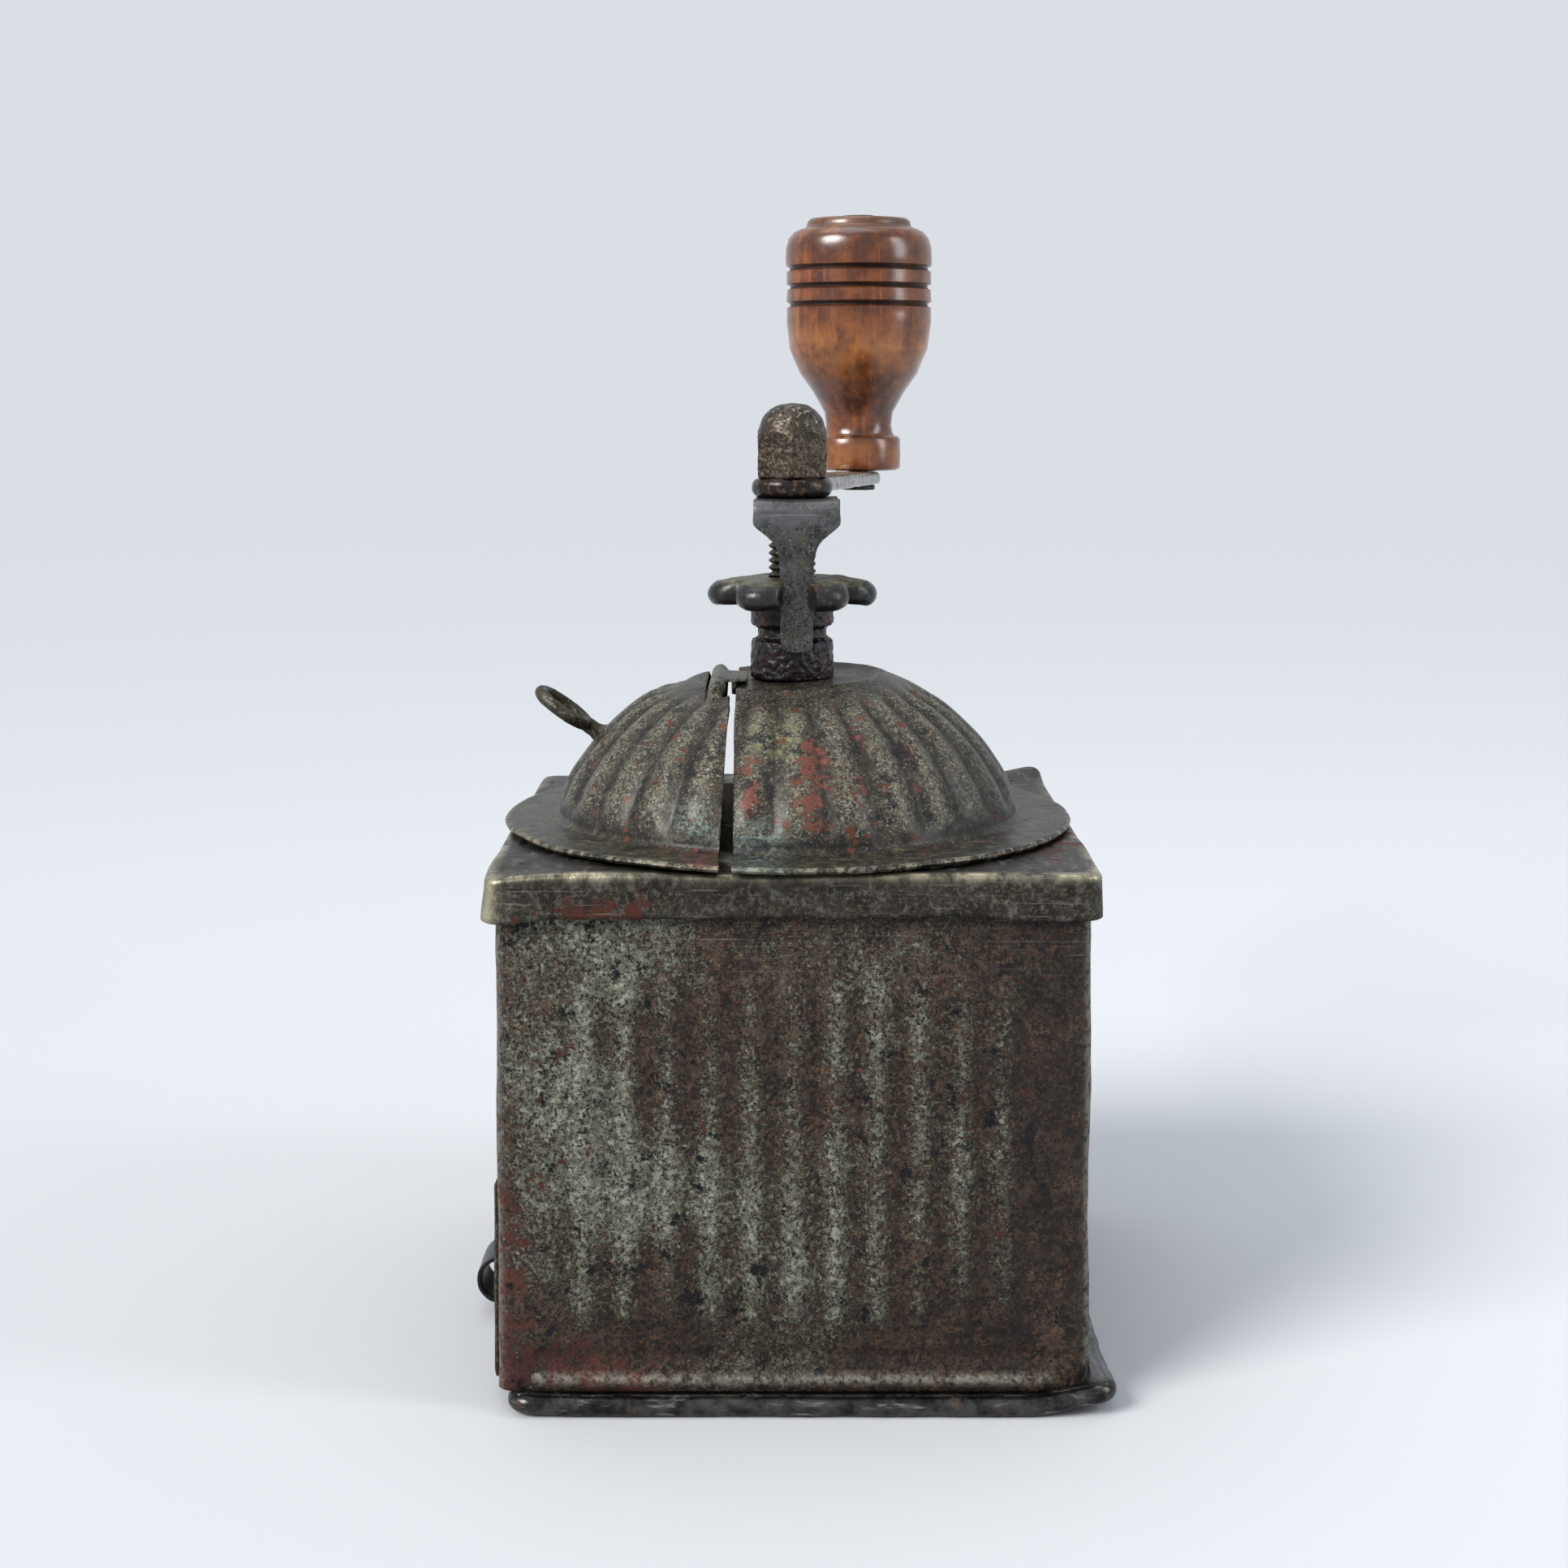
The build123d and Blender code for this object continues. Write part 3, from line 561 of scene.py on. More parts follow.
def build_body():
    opening = (drawer_y - 42, drawer_y + 42)
    opening_top = box_high[2] + 1.2
    around = perimeter(half_w, half_d, 3.0, 0.78, opening)
    levels = np.unique(np.round(np.concatenate([
        np.linspace(body_low[2] + 0.05, 14, 30), np.linspace(14, 20, 10), np.linspace(20, 78, 40),
        np.linspace(78, 84, 10), np.linspace(84, body_high[2] - 0.1, 12), [opening_top]]), 3))
    points, ridges, valleys = [], [], []
    for z in levels:
        for x, y, nx, ny, side, along in around:
            height, ridge, valley_shade = body_relief(side, along, z) if side != "corner" else (0.0, 0.0, 0.0)
            calm = 0.35 if side == "left" else 1.0
            dent = calm * (lumps((x, y, z), 0.045, 0.55, 4) + lumps((x, y, z), 0.16, 0.16, 9))
            edge = step(z, 4, 10) * (1 - step(z, 88, 96))
            dent = min(dent * edge, 0.5)
            points.append((x + nx * (height + dent), y + ny * (height + dent), z))
            ridges.append(ridge)
            valleys.append(valley_shade)
    cols = len(around)
    faces = []
    for face in grid_faces(len(levels), cols, True):
        j = face[0] % cols
        k = face[1] % cols
        z = levels[face[0] // cols]
        same_side = around[j][4] == "left" and around[k][4] == "left"
        middle = (around[j][1] + around[k][1]) / 2
        if same_side and z < opening_top - 0.01 and opening[0] < middle < opening[1]:
            continue
        faces.append(face)
    obj = make_object("body_panels", points, faces, 50)
    # the valley measure carries painted shade between the flutes
    layer = obj.data.attributes.new("valley_shade", "FLOAT", "POINT")
    layer.data.foreach_set("value", valleys)

    # painted shade on the right side, at the bottom and under the cover's edge, over an even darker tone
    def tone_and_shade(p):
        right = step(p.x, 20, 50) * (1.0 if p.y < -half_d + 0.5 else 0.45)
        low = (1 - step(p.z, 10, 34)) * 0.6
        top = step(p.z, 88, 95) * 0.35
        return min(1.0, 0.18 + right + low + top)

    def primer(p):
        left = 1 - step(p.x, -half_w + 2, -half_w + 10)
        low_left = (1 - step(p.x, -50, -14)) * (1 - step(p.z, 8, 26))
        spots = bump_at(p.z, 6, 3) * bump_at(p.x, -33, 7)
        middle = 0.25 * bump_at(p.z, 55, 26)
        return min(1.0, left * (1 - step(p.z, 20, 60)) + low_left + spots + middle)

    def paint(p, ridge):
        broad = 0.5 + lumps(p, 0.03, 1.1, 14) + lumps(p, 0.085, 0.7, 17)
        left = 0.3 * (1 - step(p.x, -10, 40)) + 0.3 * bump_at(p.x, -43, 9) * bump_at(p.z, 62, 22)
        low = 0.35 * (1 - step(p.z, 12, 28)) + 0.45 * step(p.x, 36, 52) * (p.y < -half_d + 0.5)
        return min(max(0.42 * ridge + 0.62 * broad + left - low, 0.0), 1.0)

    paint_layer = obj.data.attributes.new("paint", "FLOAT", "POINT")
    paint_layer.data.foreach_set("value", [paint(Vector(p), r) for p, r in zip(points, ridges)])
    paint_values(obj, "tone_and_shade", tone_and_shade)
    paint_values(obj, "primer", primer)
    paint_values(obj, "scratch", lambda p: step(p.z, 78, 86))
    # painted highlight along the body's corner edges and its bottom bead
    paint_values(obj, "edge", lambda p: bump_at(abs(p.x), half_w - 0.4, 0.7) * 0.7 * (abs(p.y) > half_d - 2.6)
                 + 0.8 * bump_at(p.z, 6.4, 0.8) * (abs(p.y) > half_d))
    weld(obj)
    thicken(obj, 0.8)
    return place(obj, "housing", "body_paint", *body_panels)


# ---------------------------------------------------------------- top cover
def build_cover():
    hw, hd = cover_high[0], cover_high[1]
    top = cover_high[2]
    around = perimeter(hw, hd, 4.0, 0.9)
    hole = 42.6
    rows = []
    for t in np.linspace(0, 1, 16):
        rows.append([(hole * math.cos(math.atan2(y, x)) * (1 - t) + (x - 1.3 * nx) * t,
                      hole * math.sin(math.atan2(y, x)) * (1 - t) + (y - 1.3 * ny) * t, top)
                     for x, y, nx, ny, side, along in around])
    for a in np.linspace(15, 90, 6):
        c, s = math.cos(math.radians(a)), math.sin(math.radians(a))
        rows.append([(x - nx * 1.3 * (1 - s), y - ny * 1.3 * (1 - s), top - 1.3 * (1 - c))
                     for x, y, nx, ny, side, along in around])
    for z in np.linspace(top - 1.8, cover_low[2], 9):
        rows.append([(at[0], at[1], z) for at in around])
    points = []
    for i, row in enumerate(rows):
        skirt = step(i, 21, len(rows) - 1)
        for (x, y, z), (px, py, nx, ny, side, along) in zip(row, around):
            corner_back_right = bump_at(px, hw, 9) * bump_at(py, hd, 9)
            corner_front_left = bump_at(px, -hw, 7) * bump_at(py, -hd, 7)
            corner_front_right = bump_at(px, hw, 6) * bump_at(py, -hd, 6)
            outer = step(i, 8, 16)
            z += 2.2 * corner_back_right * outer
            z -= 1.0 * corner_front_left * outer * (1 - skirt)
            flare = 1.2 * corner_front_left * skirt + 0.35 * corner_front_right * skirt
            flare += skirt * lumps((px, py, 0), 0.06, 0.5, 2)
            x += nx * flare
            y += ny * flare
            z += outer * lumps((x, y, 0), 0.05, 0.5, 5) + (1 - outer) * lumps((x, y, 0), 0.08, 0.15, 5)
            z += skirt * lumps((px, py, 3), 0.09, 0.7, 8) - skirt * 0.7 * bump_at(px, -hw, 12)
            points.append((x, y, z))
    obj = make_object("cover_sheet", points, grid_faces(len(rows), len(around), True), 50)
    weld(obj)

    # painted highlight along the folded edge, stronger at the front and on the flared front-left corner
    def edge(p):
        out = max(abs(p.x) / hw, abs(p.y) / hd)
        fold = bump_at(p.z, top - 0.45, 0.85) * step(out, 0.955, 0.985)
        corner = bump_at(p.x, -hw, 3.2) * bump_at(p.y, -hd, 3.2) * 0.9
        front = 1.0 if p.y < 0 else 0.5
        return min(1.0, fold * front * (0.75 + lumps(p, 0.1, 0.9, 3)) + corner)

    paint_values(obj, "edge", edge)
    paint_values(obj, "skirt", lambda p: 1 - step(p.z, top - 2.4, top - 1.4))
    paint_values(obj, "primer", lambda p: max(
        bump_at(p.x, -38, 13) * bump_at(p.z, top - 7, 3.2) * (p.y < 0),
        bump_at(p.x, 48, 16) * bump_at(p.y, -20, 26) * (p.z > top - 1.2) * 0.9))
    thicken(obj, 1.0)
    return place(obj, "housing", "cover_tin", "top_cover")


# ---------------------------------------------------------------- dome and lid
flute_total = 28
dome_curve = [(47.9, 103.35), (47.1, 103.9), (46.85, 105.0), (46.3, 107.2), (44.9, 110.8), (43.0, 113.9),
              (39.9, 118.1),
              (35.6, 122.5), (31.4, 125.9), (27.0, 128.45), (22.8, 130.3), (20.4, 131.0), (18.0, 131.1)]


def dome_points():
    """Rows of dome points from the rolled rim over the foot to the hole in the crown, with a flute crest measure and
    a flute valley measure each; the valley measure carries painted shade and the crest measure partly a painted
    highlight.
    """
    rim = [(brim_r - 1.7, 102.35), (brim_r - 1.0, 102.0), (brim_r - 0.3, 102.1), (brim_r, 102.65),
           (brim_r - 0.35, 103.2), (brim_r - 1.2, 103.3)]
    foot = spread([(brim_r - 1.8, 103.25), (48.8, 103.25)], 12)
    dome = smooth_curve(dome_curve, 74)
    crown = spread([(17.5, 131.1), (6.75, 131.1)], 8)
    profile = np.vstack([rim, foot, dome, crown])
    steps = 560
    points, ridge, valley_shade = [], [], []
    for r, z in profile:
        out = step(r, 47.5, 55)
        fade = step(z, 104.5, 109) * (1 - step(z, 127.6, 130.7))
        depth = 1.5 * fade * step(r, 20.0, 29)
        for j in range(steps):
            a = 2 * math.pi * j / steps
            wave = 0.5 + 0.5 * math.cos(flute_total * (a + math.radians(100.1)))
            wave = wave ** 0.62
            push = depth * (wave - 0.75)
            x, y = r * math.cos(a), r * math.sin(a)
            uneven = lumps((x, y, z), 0.07, 0.35, 3) + lumps((x, y, z), 0.25, 0.1, 6)
            normal_z = 0.25 + 0.6 * step(z, 108, 131)
            px = x + (push + uneven * 0.7) * math.cos(a) * (1 - normal_z)
            py = y + (push + uneven * 0.7) * math.sin(a) * (1 - normal_z) + brim_y * out
            pz = z + (push + uneven) * normal_z + out * lumps((x, y, 0), 0.05, 0.45, 12)
            top = step(z, 127, 130.5)
            tilt = 0.045 * x + 0.03 * min(y, 0)
            pz += top * (min(tilt, 0.7) + 0.6 * bump_at(r, 19.6, 1.5) - 0.5 * bump_at(r, 13.5, 4))
            points.append((px + dome_x, py, pz))
            ridge.append(wave * fade)
            valley_shade.append((1 - wave) ** 1.3 * fade)
    return points, ridge, valley_shade, len(profile), steps


def dome_part(name, keep_right, cut_x):
    """One side of the dome. The fixed side ends on an upright plane and the lid's edge leans away from it."""
    points, ridge, valley_shade, rows, steps = dome_points()
    obj = make_object(name, points, grid_faces(rows, steps, True), 60)
    for name, values in (("ridge", ridge), ("valley_shade", valley_shade)):
        layer = obj.data.attributes.new(name, "FLOAT", "POINT")
        layer.data.foreach_set("value", values)
    bm = bmesh.new()
    bm.from_mesh(obj.data)

    def cut(x, y, normal, **sides):
        everything = list(bm.verts) + list(bm.edges) + list(bm.faces)
        bmesh.ops.bisect_plane(bm, geom=everything, plane_co=(x * 0.001, y * 0.001, 0), plane_no=normal, **sides)

    if keep_right:
        cut(cut_x, 0, (1, 0, 0), clear_inner=True)
    else:
        lean, twist = math.radians(4.0), math.radians(1.2)
        normal = (math.cos(lean) * math.cos(twist), math.sin(twist), -math.sin(lean))
        at_crown = cut_x - crown_z * math.tan(lean)
        cut(at_crown, 0, normal, clear_outer=True)
        hinge = span("hinge_pin")
        slot_x = (hinge[0][0] + hinge[1][0]) / 2 - 2.3
        slot_end, slot_floor = 18.6, 125
        cut(slot_x, 0, (1, 0, 0))
        cut(0, slot_end, (0, 1, 0))
        cut(0, -slot_end, (0, 1, 0))
        gone = [f for f in bm.faces if f.calc_center_median().x > slot_x * 0.001
                and abs(f.calc_center_median().y) < slot_end * 0.001
                and f.calc_center_median().z > slot_floor * 0.001]
        bmesh.ops.delete(bm, geom=gone, context="FACES")
    bmesh.ops.recalc_face_normals(bm, faces=bm.faces)
    bm.to_mesh(obj.data)
    bm.free()
    obj.data.polygons.foreach_set("use_smooth", [True] * len(obj.data.polygons))

    def primer(p):
        strip_a = bump_at(p.x, 4.0, 4.2) * step(p.z, 105, 108) * (1 - step(p.z, 122, 126))
        strip_b = bump_at(p.x, -8.5, 2.2) * step(p.z, 107, 110) * (1 - step(p.z, 119, 123)) * 0.9
        spots = bump_at(p.x, 12.5, 2.4) * (bump_at(p.z, 124, 3) + bump_at(p.z, 115, 3)) * 0.9
        spots += bump_at(p.x, 22, 2.5) * bump_at(p.z, 120, 4) * 0.8
        foot = bump_at(p.x, -19, 8) * bump_at(p.z, 103.4, 0.7) * 0.9
        lidside = bump_at(p.x, -15, 2.5) * bump_at(p.z, 107.5, 4) * 0.8
        rear = 0.7 * step(p.y, 10, 30) * step(lumps(p, 0.06, 1.0, 21), 0.1, 0.4)
        return min(1.0, (strip_a + strip_b + spots + foot + lidside) * (p.y < 0) + rear)

    paint_values(obj, "primer", primer)
    paint_values(obj, "patina", lambda p: min(1.0, (p.y < 0) * (
        bump_at(p.x, -6.5, 5) * bump_at(p.z, 105, 3.4)
        + bump_at(p.x, -18.5, 3.4) * bump_at(p.z, 108.5, 3.2) * 0.9)))
    paint_values(obj, "lichen", lambda p: (p.y < 0) * bump_at(p.x, -3, 5) * bump_at(p.z, 123, 3) * 0.9
                 + 0.35 * bump_at(p.z, 103.6, 0.9))
    # painted shade in the crease at the dome's foot and on the dome's right side
    paint_values(obj, "dome_shade", lambda p: min(1.0, bump_at(p.z, 104.6, 1.6) * 0.9
                                             + 0.5 * step(p.x, 22, 42) * (1 - step(p.z, 118, 128))))
    # painted highlight on the front half of the brim's rim
    paint_values(obj, "edge", lambda p: 0.8 * (p.y < 0) * step(
        math.hypot(p.x - dome_x, p.y - brim_y), brim_r - 1.0, brim_r - 0.3))
    return thicken(obj, 0.7)


def build_dome():
    place(dome_part("dome_fixed", True, dome_low[0]), "housing", "dome_tin", "dome_shell")
    place(dome_part("dome_lid", False, -12.95), "lid", "dome_tin", "lid_shell")


# ---------------------------------------------------------------- base plate
def build_base():
    low, high = base_low, base_high
    r = 1.9
    centre = (low + high) / 2
    hw, hd = (high[0] - low[0]) / 2 - r, (high[1] - low[1]) / 2 - r

    def lift(x, y):
        right = step(x, high[0] - 18, high[0])
        front = 1 - step(y, low[1], low[1] + 26)
        return 2.6 * right * front + 0.5 * bump_at(x, low[0], 8) * bump_at(y, low[1], 8)

    path = []
    for x, y, nx, ny, side, along in perimeter(hw, hd, 3.0, 1.5):
        sway = lumps((x, y, 0), 0.035, 0.7, 3)
        x, y = x + nx * min(sway, 0), y + ny * min(sway, 0)
        path.append((x + centre[0], y + centre[1], r + lift(x + centre[0], y + centre[1])))
    roll = tube("base_roll", path, [r * (1 - abs(lumps(p, 0.15, 0.12, 5))) for p in path], closed=True, sides=18)
    place(roll, "housing", "base_tin", "base_plate")
    grid = []
    xs = np.unique(np.concatenate([np.linspace(-hw, hw, 90), [-42 - centre[0], 42 - centre[0]]]))
    ys = np.unique(np.concatenate([np.linspace(-hd, hd, 90), [-42 - centre[1], 42 - centre[1]]]))
    for y in ys:
        for x in xs:
            px, py = x + centre[0], y + centre[1]
            pan = 1 - step(max(abs(px), abs(py)), 41.0, 42.5)
            grid.append((px, py, 3.75 * (1 - pan) + 1.2 * pan + lift(px, py)))
    plate = make_object("base_sheet", grid, grid_faces(len(ys), len(xs)), 50)
    thicken(plate, 1.1)
    place(plate, "housing", "base_tin")


# ---------------------------------------------------------------- crank side pieces
def build_knob():
    centre = ((knob_low[0] + knob_high[0]) / 2, (knob_low[1] + knob_high[1]) / 2)
    foot = knob_low[2]
    outline = [(2.7, 0.1), (9.8, 0.1), (10.6, 0.7), (10.75, 4.0), (10.6, 7.9), (10.1, 8.6), (9.2, 8.8), (8.7, 9.6),
               (8.35, 11.4), (8.8, 14.7), (11.7, 19.9), (15.0, 24.6), (17.6, 30.8), (18.35, 37.4), (18.3, 41.0)]
    for z in (41.9, 46.4, 51.0):
        outline += [(18.35, z - 0.75), (17.75, z - 0.45), (17.45, z), (17.75, z + 0.45), (18.45, z + 0.75)]
    outline += [(18.6, 53.2), (18.5, 56.3), (17.9, 58.6), (16.6, 60.2), (15.0, 61.0), (13.9, 61.3), (13.4, 61.7),
                (13.1, 62.9), (12.4, 63.6), (9.5, 63.85), (4.7, 63.8), (4.6, 62.9), (2.7, 62.8)]
    profile = []
    for (r0, z0), (r1, z1) in zip(outline[:-1], outline[1:]):
        for t in (0, 0.5):
            profile.append((r0 + (r1 - r0) * t, foot + z0 + (z1 - z0) * t))
    profile.append((outline[-1][0], foot + outline[-1][1]))
    knob = lathe("knob_turned", profile, 120, centre, 60)
    for v in knob.data.vertices:
        p = v.co * 1000
        out = Vector((p.x - centre[0], p.y - centre[1], 0))
        out.normalize()
        v.co = (p + out * (lumps(p, 0.12, 0.16, 4) - 0.08)) * 0.001
    grooves = [foot + z for z in (41.9, 46.4, 51.0)]
    # painted shade in the turned grooves
    paint_values(knob, "groove", lambda p: max(bump_at(p.z, g, 0.55) for g in grooves))
    paint_values(knob, "rubbed", lambda p: max(bump_at(p.z, foot + 30, 5), 0.7 * bump_at(p.z, foot + 4, 4)))
    # darker overall and towards the top, with painted shade in the neck under the bulb and in the crease above the
    # foot's collar
    paint_values(knob, "neck_shade_and_tone", lambda p: min(1.0, 0.25 + 0.9 * bump_at(p.z, foot + 17, 6)
                                              + 0.6 * bump_at(p.z, foot + 9, 1.5)
                                              + 0.6 * step(p.z, foot + 50, foot + 58)))
    paint_values(knob, "worn_top", lambda p: step(p.z, foot + 59.5, foot + 62))
    place(knob, "knob", "knob_wood", "knob")


def build_screw():
    """The spindle with a cut thread where it shows above the nut."""
    pitch, crest, depth, thread_end = 1.5, 4.85, 0.85, 166.5
    low, high = nut_high[2] - 4, spindle_high[2]
    rows = []
    for z in np.arange(spindle_low[2], low, 6.0):
        rows.append((z, False))
    for z in np.arange(low, 167.0, 0.15):
        rows.append((z, True))
    steps = 56
    points = []
    for z, cut in rows:
        for j in range(steps):
            a = 2 * math.pi * j / steps
            t = ((z / pitch - a / (2 * math.pi)) % 1.0)
            groove = depth * max(0.0, 1 - abs(t - 0.5) * 2.6) if cut and z < thread_end else 0.0
            r = crest - groove
            r = 3.95 if z < 52 else r
            points.append((r * math.cos(a), r * math.sin(a), z))
    for r, z in ((3.9, 167.0), (3.9, high - 0.7), (3.2, high), (0.02, high)):
        for j in range(steps):
            a = 2 * math.pi * j / steps
            points.append((r * math.cos(a), r * math.sin(a), z))
    screw = make_object("spindle_screw", points, grid_faces(len(rows) + 4, steps, True), 40)
    cap = bmesh.new()
    cap.from_mesh(screw.data)
    bmesh.ops.holes_fill(cap, edges=cap.edges, sides=200)
    bmesh.ops.recalc_face_normals(cap, faces=cap.faces)
    cap.to_mesh(screw.data)
    cap.free()
    place(screw, "crank", "spindle_steel", "spindle")


def build_strip():
    """The locking strip: a flat under the arm, a bend, and a stem that narrows and hangs in front."""
    sheet = 1.0
    centre_x = (strip_low[0] + strip_high[0]) / 2
    face_y = strip_low[1] + sheet / 2
    top = strip_high[2] - sheet / 2
    bend = 2.4
    path = [(y, top, 8.4) for y in np.linspace(5.5, face_y + bend, 10)]
    for a in np.linspace(10, 90, 9):
        c, s = math.cos(math.radians(a)), math.sin(math.radians(a))
        path.append((face_y + bend * (1 - s), top - bend * (1 - c), 8.8))
    shape = [(8.8, top - bend - 0.1), (8.85, 164.2), (8.75, 163.2), (8.1, 162.4), (6.6, 161.2), (5.0, 159.8),
             (4.0, 158.2), (3.5, 156.0), (3.35, 153.0), (3.3, 146), (3.2, 139.4), (3.05, 138.1), (2.7, 137.6),
             (2.3, 137.25)]
    for w, z in smooth_curve(shape, 80):
        path.append((face_y, z, w))
    cols = 17
    points = []
    for y, z, w in path:
        low_end = 0.3 * (1 - step(z, 137.2, 138.2))
        for j in range(cols):
            t = -1 + 2 * j / (cols - 1)
            rise = 0.28 * (1 - t * t)
            x = w * t + lumps((w * t, y, z), 0.2, 0.15)
            points.append((centre_x + x, y - rise * (z < 165) + 0.15, z + low_end * t * t))
    strip = make_object("lock_strip_bent", points, grid_faces(len(path), cols), 50)
    # painted highlight on the head and its bend over the top
    paint_values(strip, "head_highlight", lambda p: step(p.z, 160.5, 164.0))
    solid = strip.modifiers.new("sheet", "SOLIDIFY")
    solid.thickness = sheet * 0.001
    solid.offset = 0
    soft = strip.modifiers.new("soft", "BEVEL")
    soft.width = 0.00025
    soft.segments = 2
    soft.limit_method = "ANGLE"
    place(strip, "crank", "strip_steel", "lock_strip")


def build_star_nut():
    """The hand nut: six thick soft lobes that droop from the hub, with a notch for the strip."""
    low, high = nut_low[2], nut_high[2]
    half = (high - low) / 2
    reach = (nut_high[0] - nut_low[0]) / 2
    lobe_r = 5.6
    notch_x = (strip_low[0] + strip_high[0]) / 2
    steps = 420
    rims = []
    for j in range(steps):
        a = 2 * math.pi * j / steps
        off = (a + math.pi / 6) % (math.pi / 3) - math.pi / 6
        beside = (reach - lobe_r) * math.sin(off)
        r = 12.6
        if abs(beside) < lobe_r:
            r = max(r, (reach - lobe_r) * math.cos(off) + math.sqrt(lobe_r ** 2 - beside ** 2))
        rims.append(r)
    rims = np.array(rims)
    for k in range(6):
        rims = (np.roll(rims, 1) + rims * 2 + np.roll(rims, -1)) / 4
    points = []
    rows = 0
    ring_rows = [("low", t) for t in np.linspace(0, 1, 9)] + [("rim", t) for t in np.linspace(-75, 75, 9)]
    ring_rows += [("top", t) for t in np.linspace(1, 0, 11)]
    for kind, t in ring_rows:
        for j in range(steps):
            a = 2 * math.pi * j / steps
            r_out = rims[j]
            x_out = r_out * math.cos(a)
            if abs(x_out - notch_x) < 3.7 and math.sin(a) < 0:
                r_out = min(r_out, 8.9 / abs(math.sin(a)))
            edge = 2.3 if r_out > 10 else 1.0
            if kind == "rim":
                r = r_out - edge + edge * math.cos(math.radians(t))
                z = (low + high) / 2 + half * math.sin(math.radians(t))
            else:
                r = 4.95 + (r_out - edge + edge * 0.26 - 4.95) * t
                z = low + 0.05 if kind == "low" else high - 0.05
                if kind == "top":
                    z -= 0.25 * bump_at(r, 8.5, 1.6)
            droop = 1.15 * step(r, 8.5, 18) + 0.15 * step(r, 12, 16) * math.sin(3 * a)
            x, y = r * math.cos(a), r * math.sin(a)
            wobble = lumps((x, y, z), 0.25, 0.3, 5) * step(r, 6, 9)
            points.append((x, y, min(z - droop + wobble, high)))
        rows += 1
    star = make_object("star_nut_cast", points, grid_faces(rows, steps, True), 60)
    weld(star)
    paint_values(star, "dust", lambda p: step(p.z, high - 2.4, high - 0.6) * step(
        nut_reach_at(p), -0.2, 1.2))
    place(star, "adjuster", "nut_steel", "star_nut")


def nut_reach_at(p):
    """How far inside the lobes' rounded rim a point of the hand nut lies, in mm."""
    return 15.4 - math.hypot(p.x, p.y)


def build_castings():
    collar = soft_copy("spindle_collar", "collar_cast", 0.24, 3, 0.26, 0.85)
    paint_values(collar, "bare", lambda p: step(p.z, 141.5, 143) + 0.5 * (p.x > 5))
    place(collar, "housing", "cast_black", "spindle_collar")

    arm = soft_copy("crank_arm", "crank_arm_forged", 0.33, 4, 0.2, 0.2)
    paint_values(arm, "eye", lambda p: 1 - step(math.hypot(p.x, p.y), 8.6, 10.5))
    place(arm, "crank", "arm_steel", "crank_arm")
    def fuller(p):
        out = Vector((p.x, p.y, 0)).normalized()
        return out * 0.5 * bump_at(p.z, nut_top - 3.4, 2.0)

    nut_top = span("acorn_nut")[1][2]
    acorn = soft_copy("acorn_nut", "domed_nut", 0.2, 2, 0.14, 0.5, fuller)
    # painted highlight on the top of the nut's dome
    paint_values(acorn, "crown", lambda p: step(p.z, nut_top - 6.5, nut_top - 3.5))
    paint_values(acorn, "flats", lambda p: 1 - step(p.z, nut_top - 7.5, nut_top - 5.5))
    place(acorn, "crank", "acorn_steel", "acorn_nut")
    pin = soft_copy("knob_pin", "knob_pin_riveted", 0.3, 2, 0.04, 0.5)
    place(pin, "crank", "small_steel", "knob_pin")
    bead = soft_copy("dome_seam_bead", "solder_line", 0.22, 1, 0.5, 0.5)
    place(bead, "housing", "solder", "dome_seam_bead")
    pull = soft_copy("drawer_pull", "pull_loop", 0.2, 2, 0.04, 0.3)
    place(pull, "drawer", "pull_black", "drawer_pull")
    rivets = soft_copy("pull_rivets", "pull_rivet_heads", 0.15, 3, 0.03, 0.8)
    place(rivets, "drawer", "small_steel", "pull_rivets")


def roll(name, profile, y0, y1):
    """A rolled hinge piece: the profile (x, z from the pin) carried along y, sinking where the dome falls away."""
    pin_low, pin_high = span("hinge_pin")
    pin_x, pin_z = (pin_low[0] + pin_high[0]) / 2, (pin_low[2] + pin_high[2]) / 2
    points = []
    stations = np.linspace(y0, y1, 28)
    for y in stations:
        sink = 0.45 * max(0.0, math.hypot(pin_x, y) - 20.8)
        ends = min(abs(y - y0), abs(y - y1))
        size = (1 - 0.4 * step(abs(y), 14.0, 18.9)) * (0.9 + 0.1 * step(ends, 0.0, 0.5))
        for x, z in profile:
            q = (pin_x + x * size, y, pin_z + z * size - sink)
            wear = lumps(q, 0.7, 0.1, 5)
            points.append((q[0] + wear, y, q[2] + wear))
    cols = len(profile)
    faces = grid_faces(len(stations), cols, True)
    faces += [tuple(range(cols))[::-1], tuple((len(stations) - 1) * cols + j for j in range(cols))]
    obj = make_object(name, points, faces, 35)
    weld(obj)
    obj.data.set_sharp_from_angle(angle=math.radians(35))
    # full crest value: the loops take the dome's speckle with its painted crest highlight all over
    paint_values(obj, "ridge", lambda p: 1.0)
    return obj


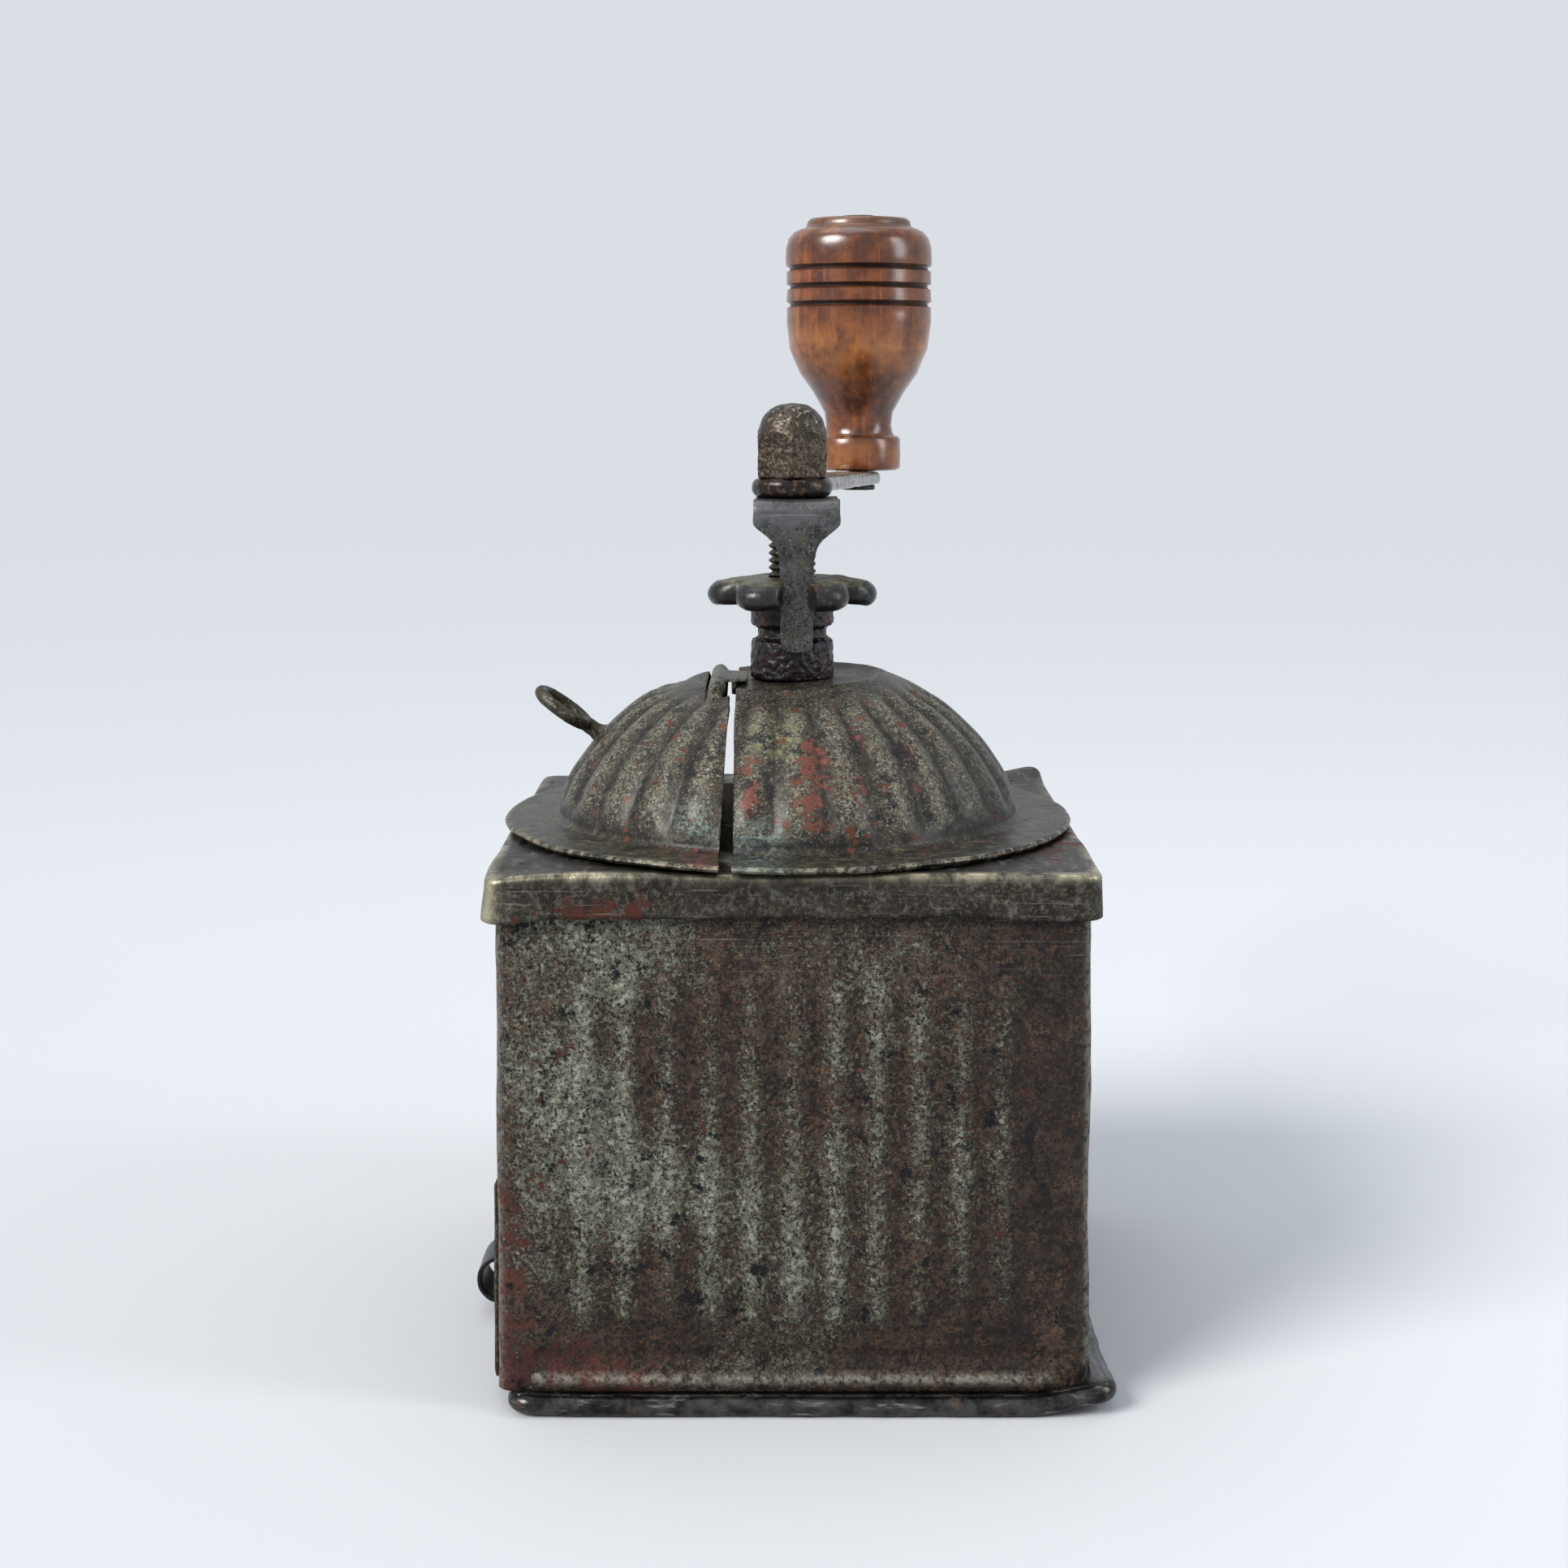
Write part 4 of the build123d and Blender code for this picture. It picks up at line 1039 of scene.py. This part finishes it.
def build_hinge():
    """Loops rolled round the pin: two from the lid, which come up through its slot, and one from the crown."""
    loop = 1.75
    lid_profile = [(loop * math.cos(a), loop * math.sin(a)) for a in np.linspace(-math.pi / 3, math.pi, 26)]
    lid_profile += [(-2.2, -1.2), (-4.4, -1.35), (-4.4, -1.8), (-1.0, -1.85)]
    crown_profile = [(loop * math.cos(a), loop * math.sin(a)) for a in np.linspace(1.3, 2 * math.pi + 0.4, 28)]
    crown_profile += [(2.4, 0.86), (3.1, 0.86), (3.2, -1.9), (3.7, -1.9), (3.8, 0.9)]
    crown_profile += [(5.8, 0.9), (5.8, 1.22), (2.4, 1.28)]
    place(roll("lid_hinge_loop_front", lid_profile, -18.9, -8.1), "lid", "dome_tin", "lid_hinge_leaf")
    place(roll("lid_hinge_loop_back", lid_profile, 8.1, 18.9), "lid", "dome_tin")
    place(roll("crown_hinge_loop", crown_profile, -7.8, 7.8), "housing", "dome_tin", "crown_hinge_leaf")


def build_ring():
    """The wire ring on the lid: a loop and a shank that thickens into the soldered foot."""
    tilt = math.radians(35.6)
    centre = np.array((-47.3, 0.0, 124.6))
    out = np.array((-math.cos(tilt), 0, math.sin(tilt)))
    side = np.array((0, 1.0, 0))
    loop = []
    for a in np.linspace(0, 2 * math.pi, 72, endpoint=False):
        loop.append(centre + 5.7 * (out * math.cos(a) + side * math.sin(a)))
    wire = tube("lid_ring_wire", loop, [1.35 + abs(lumps(p, 0.5, 0.14)) - 0.07 for p in loop], True, 16)
    place(wire, "lid", "small_steel", "lid_ring")
    near = centre - out * 5.2
    foot = centre - out * 10.6
    shank = tube("lid_ring_shank", spread([near, near - out * 1.5, foot], 14),
                 [1.35, 1.5, 1.6, 1.6, 1.6, 1.6, 1.6, 1.7, 1.8, 2.0, 2.4, 2.9, 3.1, 3.2], sides=18)
    place(shank, "lid", "small_steel")


def build_drawer_front():
    """The drawer's face, with a pressed border."""
    face_x = front_low[0]
    y0, y1, z0, z1 = front_low[1], front_high[1], front_low[2], front_high[2]
    ys, zs = np.linspace(y0, y1, 120), np.linspace(z0, z1, 60)
    points = []
    for z in zs:
        for y in ys:
            inset = min(y - y0, y1 - y, z - z0, z1 - z)
            relief = -0.35 * bump_at(inset, 4.2, 1.1) + 0.5 * (1 - step(inset, 0, 1.0))
            relief += lumps((0, y, z), 0.07, 0.25, 3)
            points.append((face_x + max(relief, -0.3) + 0.35, y, z))
    panel = make_object("drawer_face", points, grid_faces(len(zs), len(ys)), 50)
    weld(panel)
    bm = bmesh.new()
    bm.from_mesh(panel.data)
    if bm.faces[:][0].normal.x > 0:
        bmesh.ops.reverse_faces(bm, faces=bm.faces)
    bm.to_mesh(panel.data)
    bm.free()
    # an even darker tone on the drawer face
    paint_values(panel, "tone_and_shade", lambda p: 0.35)
    paint_values(panel, "primer", lambda p: 0.8 * (1 - step(p.z, 6, 14)) + 0.5 * step(p.z, 36, 40))
    paint_values(panel, "paint", lambda p: min(max(0.45 + lumps(p, 0.05, 1.2, 19), 0.0), 1.0))
    thicken(panel, 0.8)
    place(panel, "drawer", "body_paint", "drawer_front")


build_body()
build_cover()
build_dome()
build_base()
build_knob()
build_screw()
build_strip()
build_star_nut()
build_castings()
build_hinge()
build_ring()
build_drawer_front()

slots = {entry["node"]: entry["material_slot"] for entry in frame["record"]["subparts"]}
for name, node in nodes.items():
    if not node.hide_render:
        node.data.materials.clear()
        node.data.materials.append(materials[slots[name]])

# ---------------------------------------------------------------- floor, light and camera
floor = make_object("floor", [(x, y, 0) for y in (-2e4, 2e4) for x in (-2e4, 2e4)], grid_faces(2, 2))
floor_paint = bpy.data.materials.new("floor_paint")
floor_paint.use_nodes = True
floor_shader = floor_paint.node_tree.nodes["Principled BSDF"]
floor_shader.inputs["Base Color"].default_value = (0.525, 0.54, 0.56, 1)
floor_shader.inputs["Roughness"].default_value = 0.8
floor_shader.inputs["Specular IOR Level"].default_value = 0.0
floor.data.materials.append(floor_paint)

world = bpy.data.worlds.new("studio")
bpy.context.scene.world = world
world.use_nodes = True
world.node_tree.nodes["Background"].inputs[0].default_value = (0.86, 0.9, 0.95, 1)
world.node_tree.nodes["Background"].inputs[1].default_value = 0.7


def area_light(name, place_m, aim_m, size, power, colour=(1, 1, 1)):
    light = bpy.data.lights.new(name, "AREA")
    light.shape = "RECTANGLE"
    light.size, light.size_y = size
    light.energy = power
    light.color = colour
    lamp = bpy.data.objects.new(name, light)
    bpy.context.scene.collection.objects.link(lamp)
    lamp.location = place_m
    lamp.rotation_euler = (Vector(aim_m) - Vector(place_m)).to_track_quat("-Z", "Y").to_euler()


sun = bpy.data.lights.new("key", "SUN")
sun.energy = 3.0
sun.angle = math.radians(28)
sun.color = (1.0, 0.985, 0.96)
key = bpy.data.objects.new("key", sun)
bpy.context.scene.collection.objects.link(key)
key.rotation_euler = Vector((0.8, 0.66, -0.72)).to_track_quat("-Z", "Y").to_euler()
area_light("top", (-0.1, 0.15, 0.9), (0, 0, 0.1), (0.5, 0.5), 1.2)
area_light("side", (0.85, -0.25, 0.5), (0, 0, 0.1), (0.25, 0.7), 3, (0.95, 0.98, 1.0))

camera_data = bpy.data.cameras.new("camera")
camera_data.sensor_width = 36
camera_data.lens = 53.3
camera_data.shift_y = -0.174
camera_data.clip_start = 0.01
camera = bpy.data.objects.new("camera", camera_data)
bpy.context.scene.collection.objects.link(camera)
camera.location = (-0.0017, -0.478, 0.1904)
camera.rotation_euler = (math.radians(87), 0, 0)
bpy.context.scene.camera = camera
bpy.context.scene.view_settings.view_transform = "Standard"
bpy.context.scene.view_settings.look = "Medium High Contrast"

bpy.context.view_layer.update()
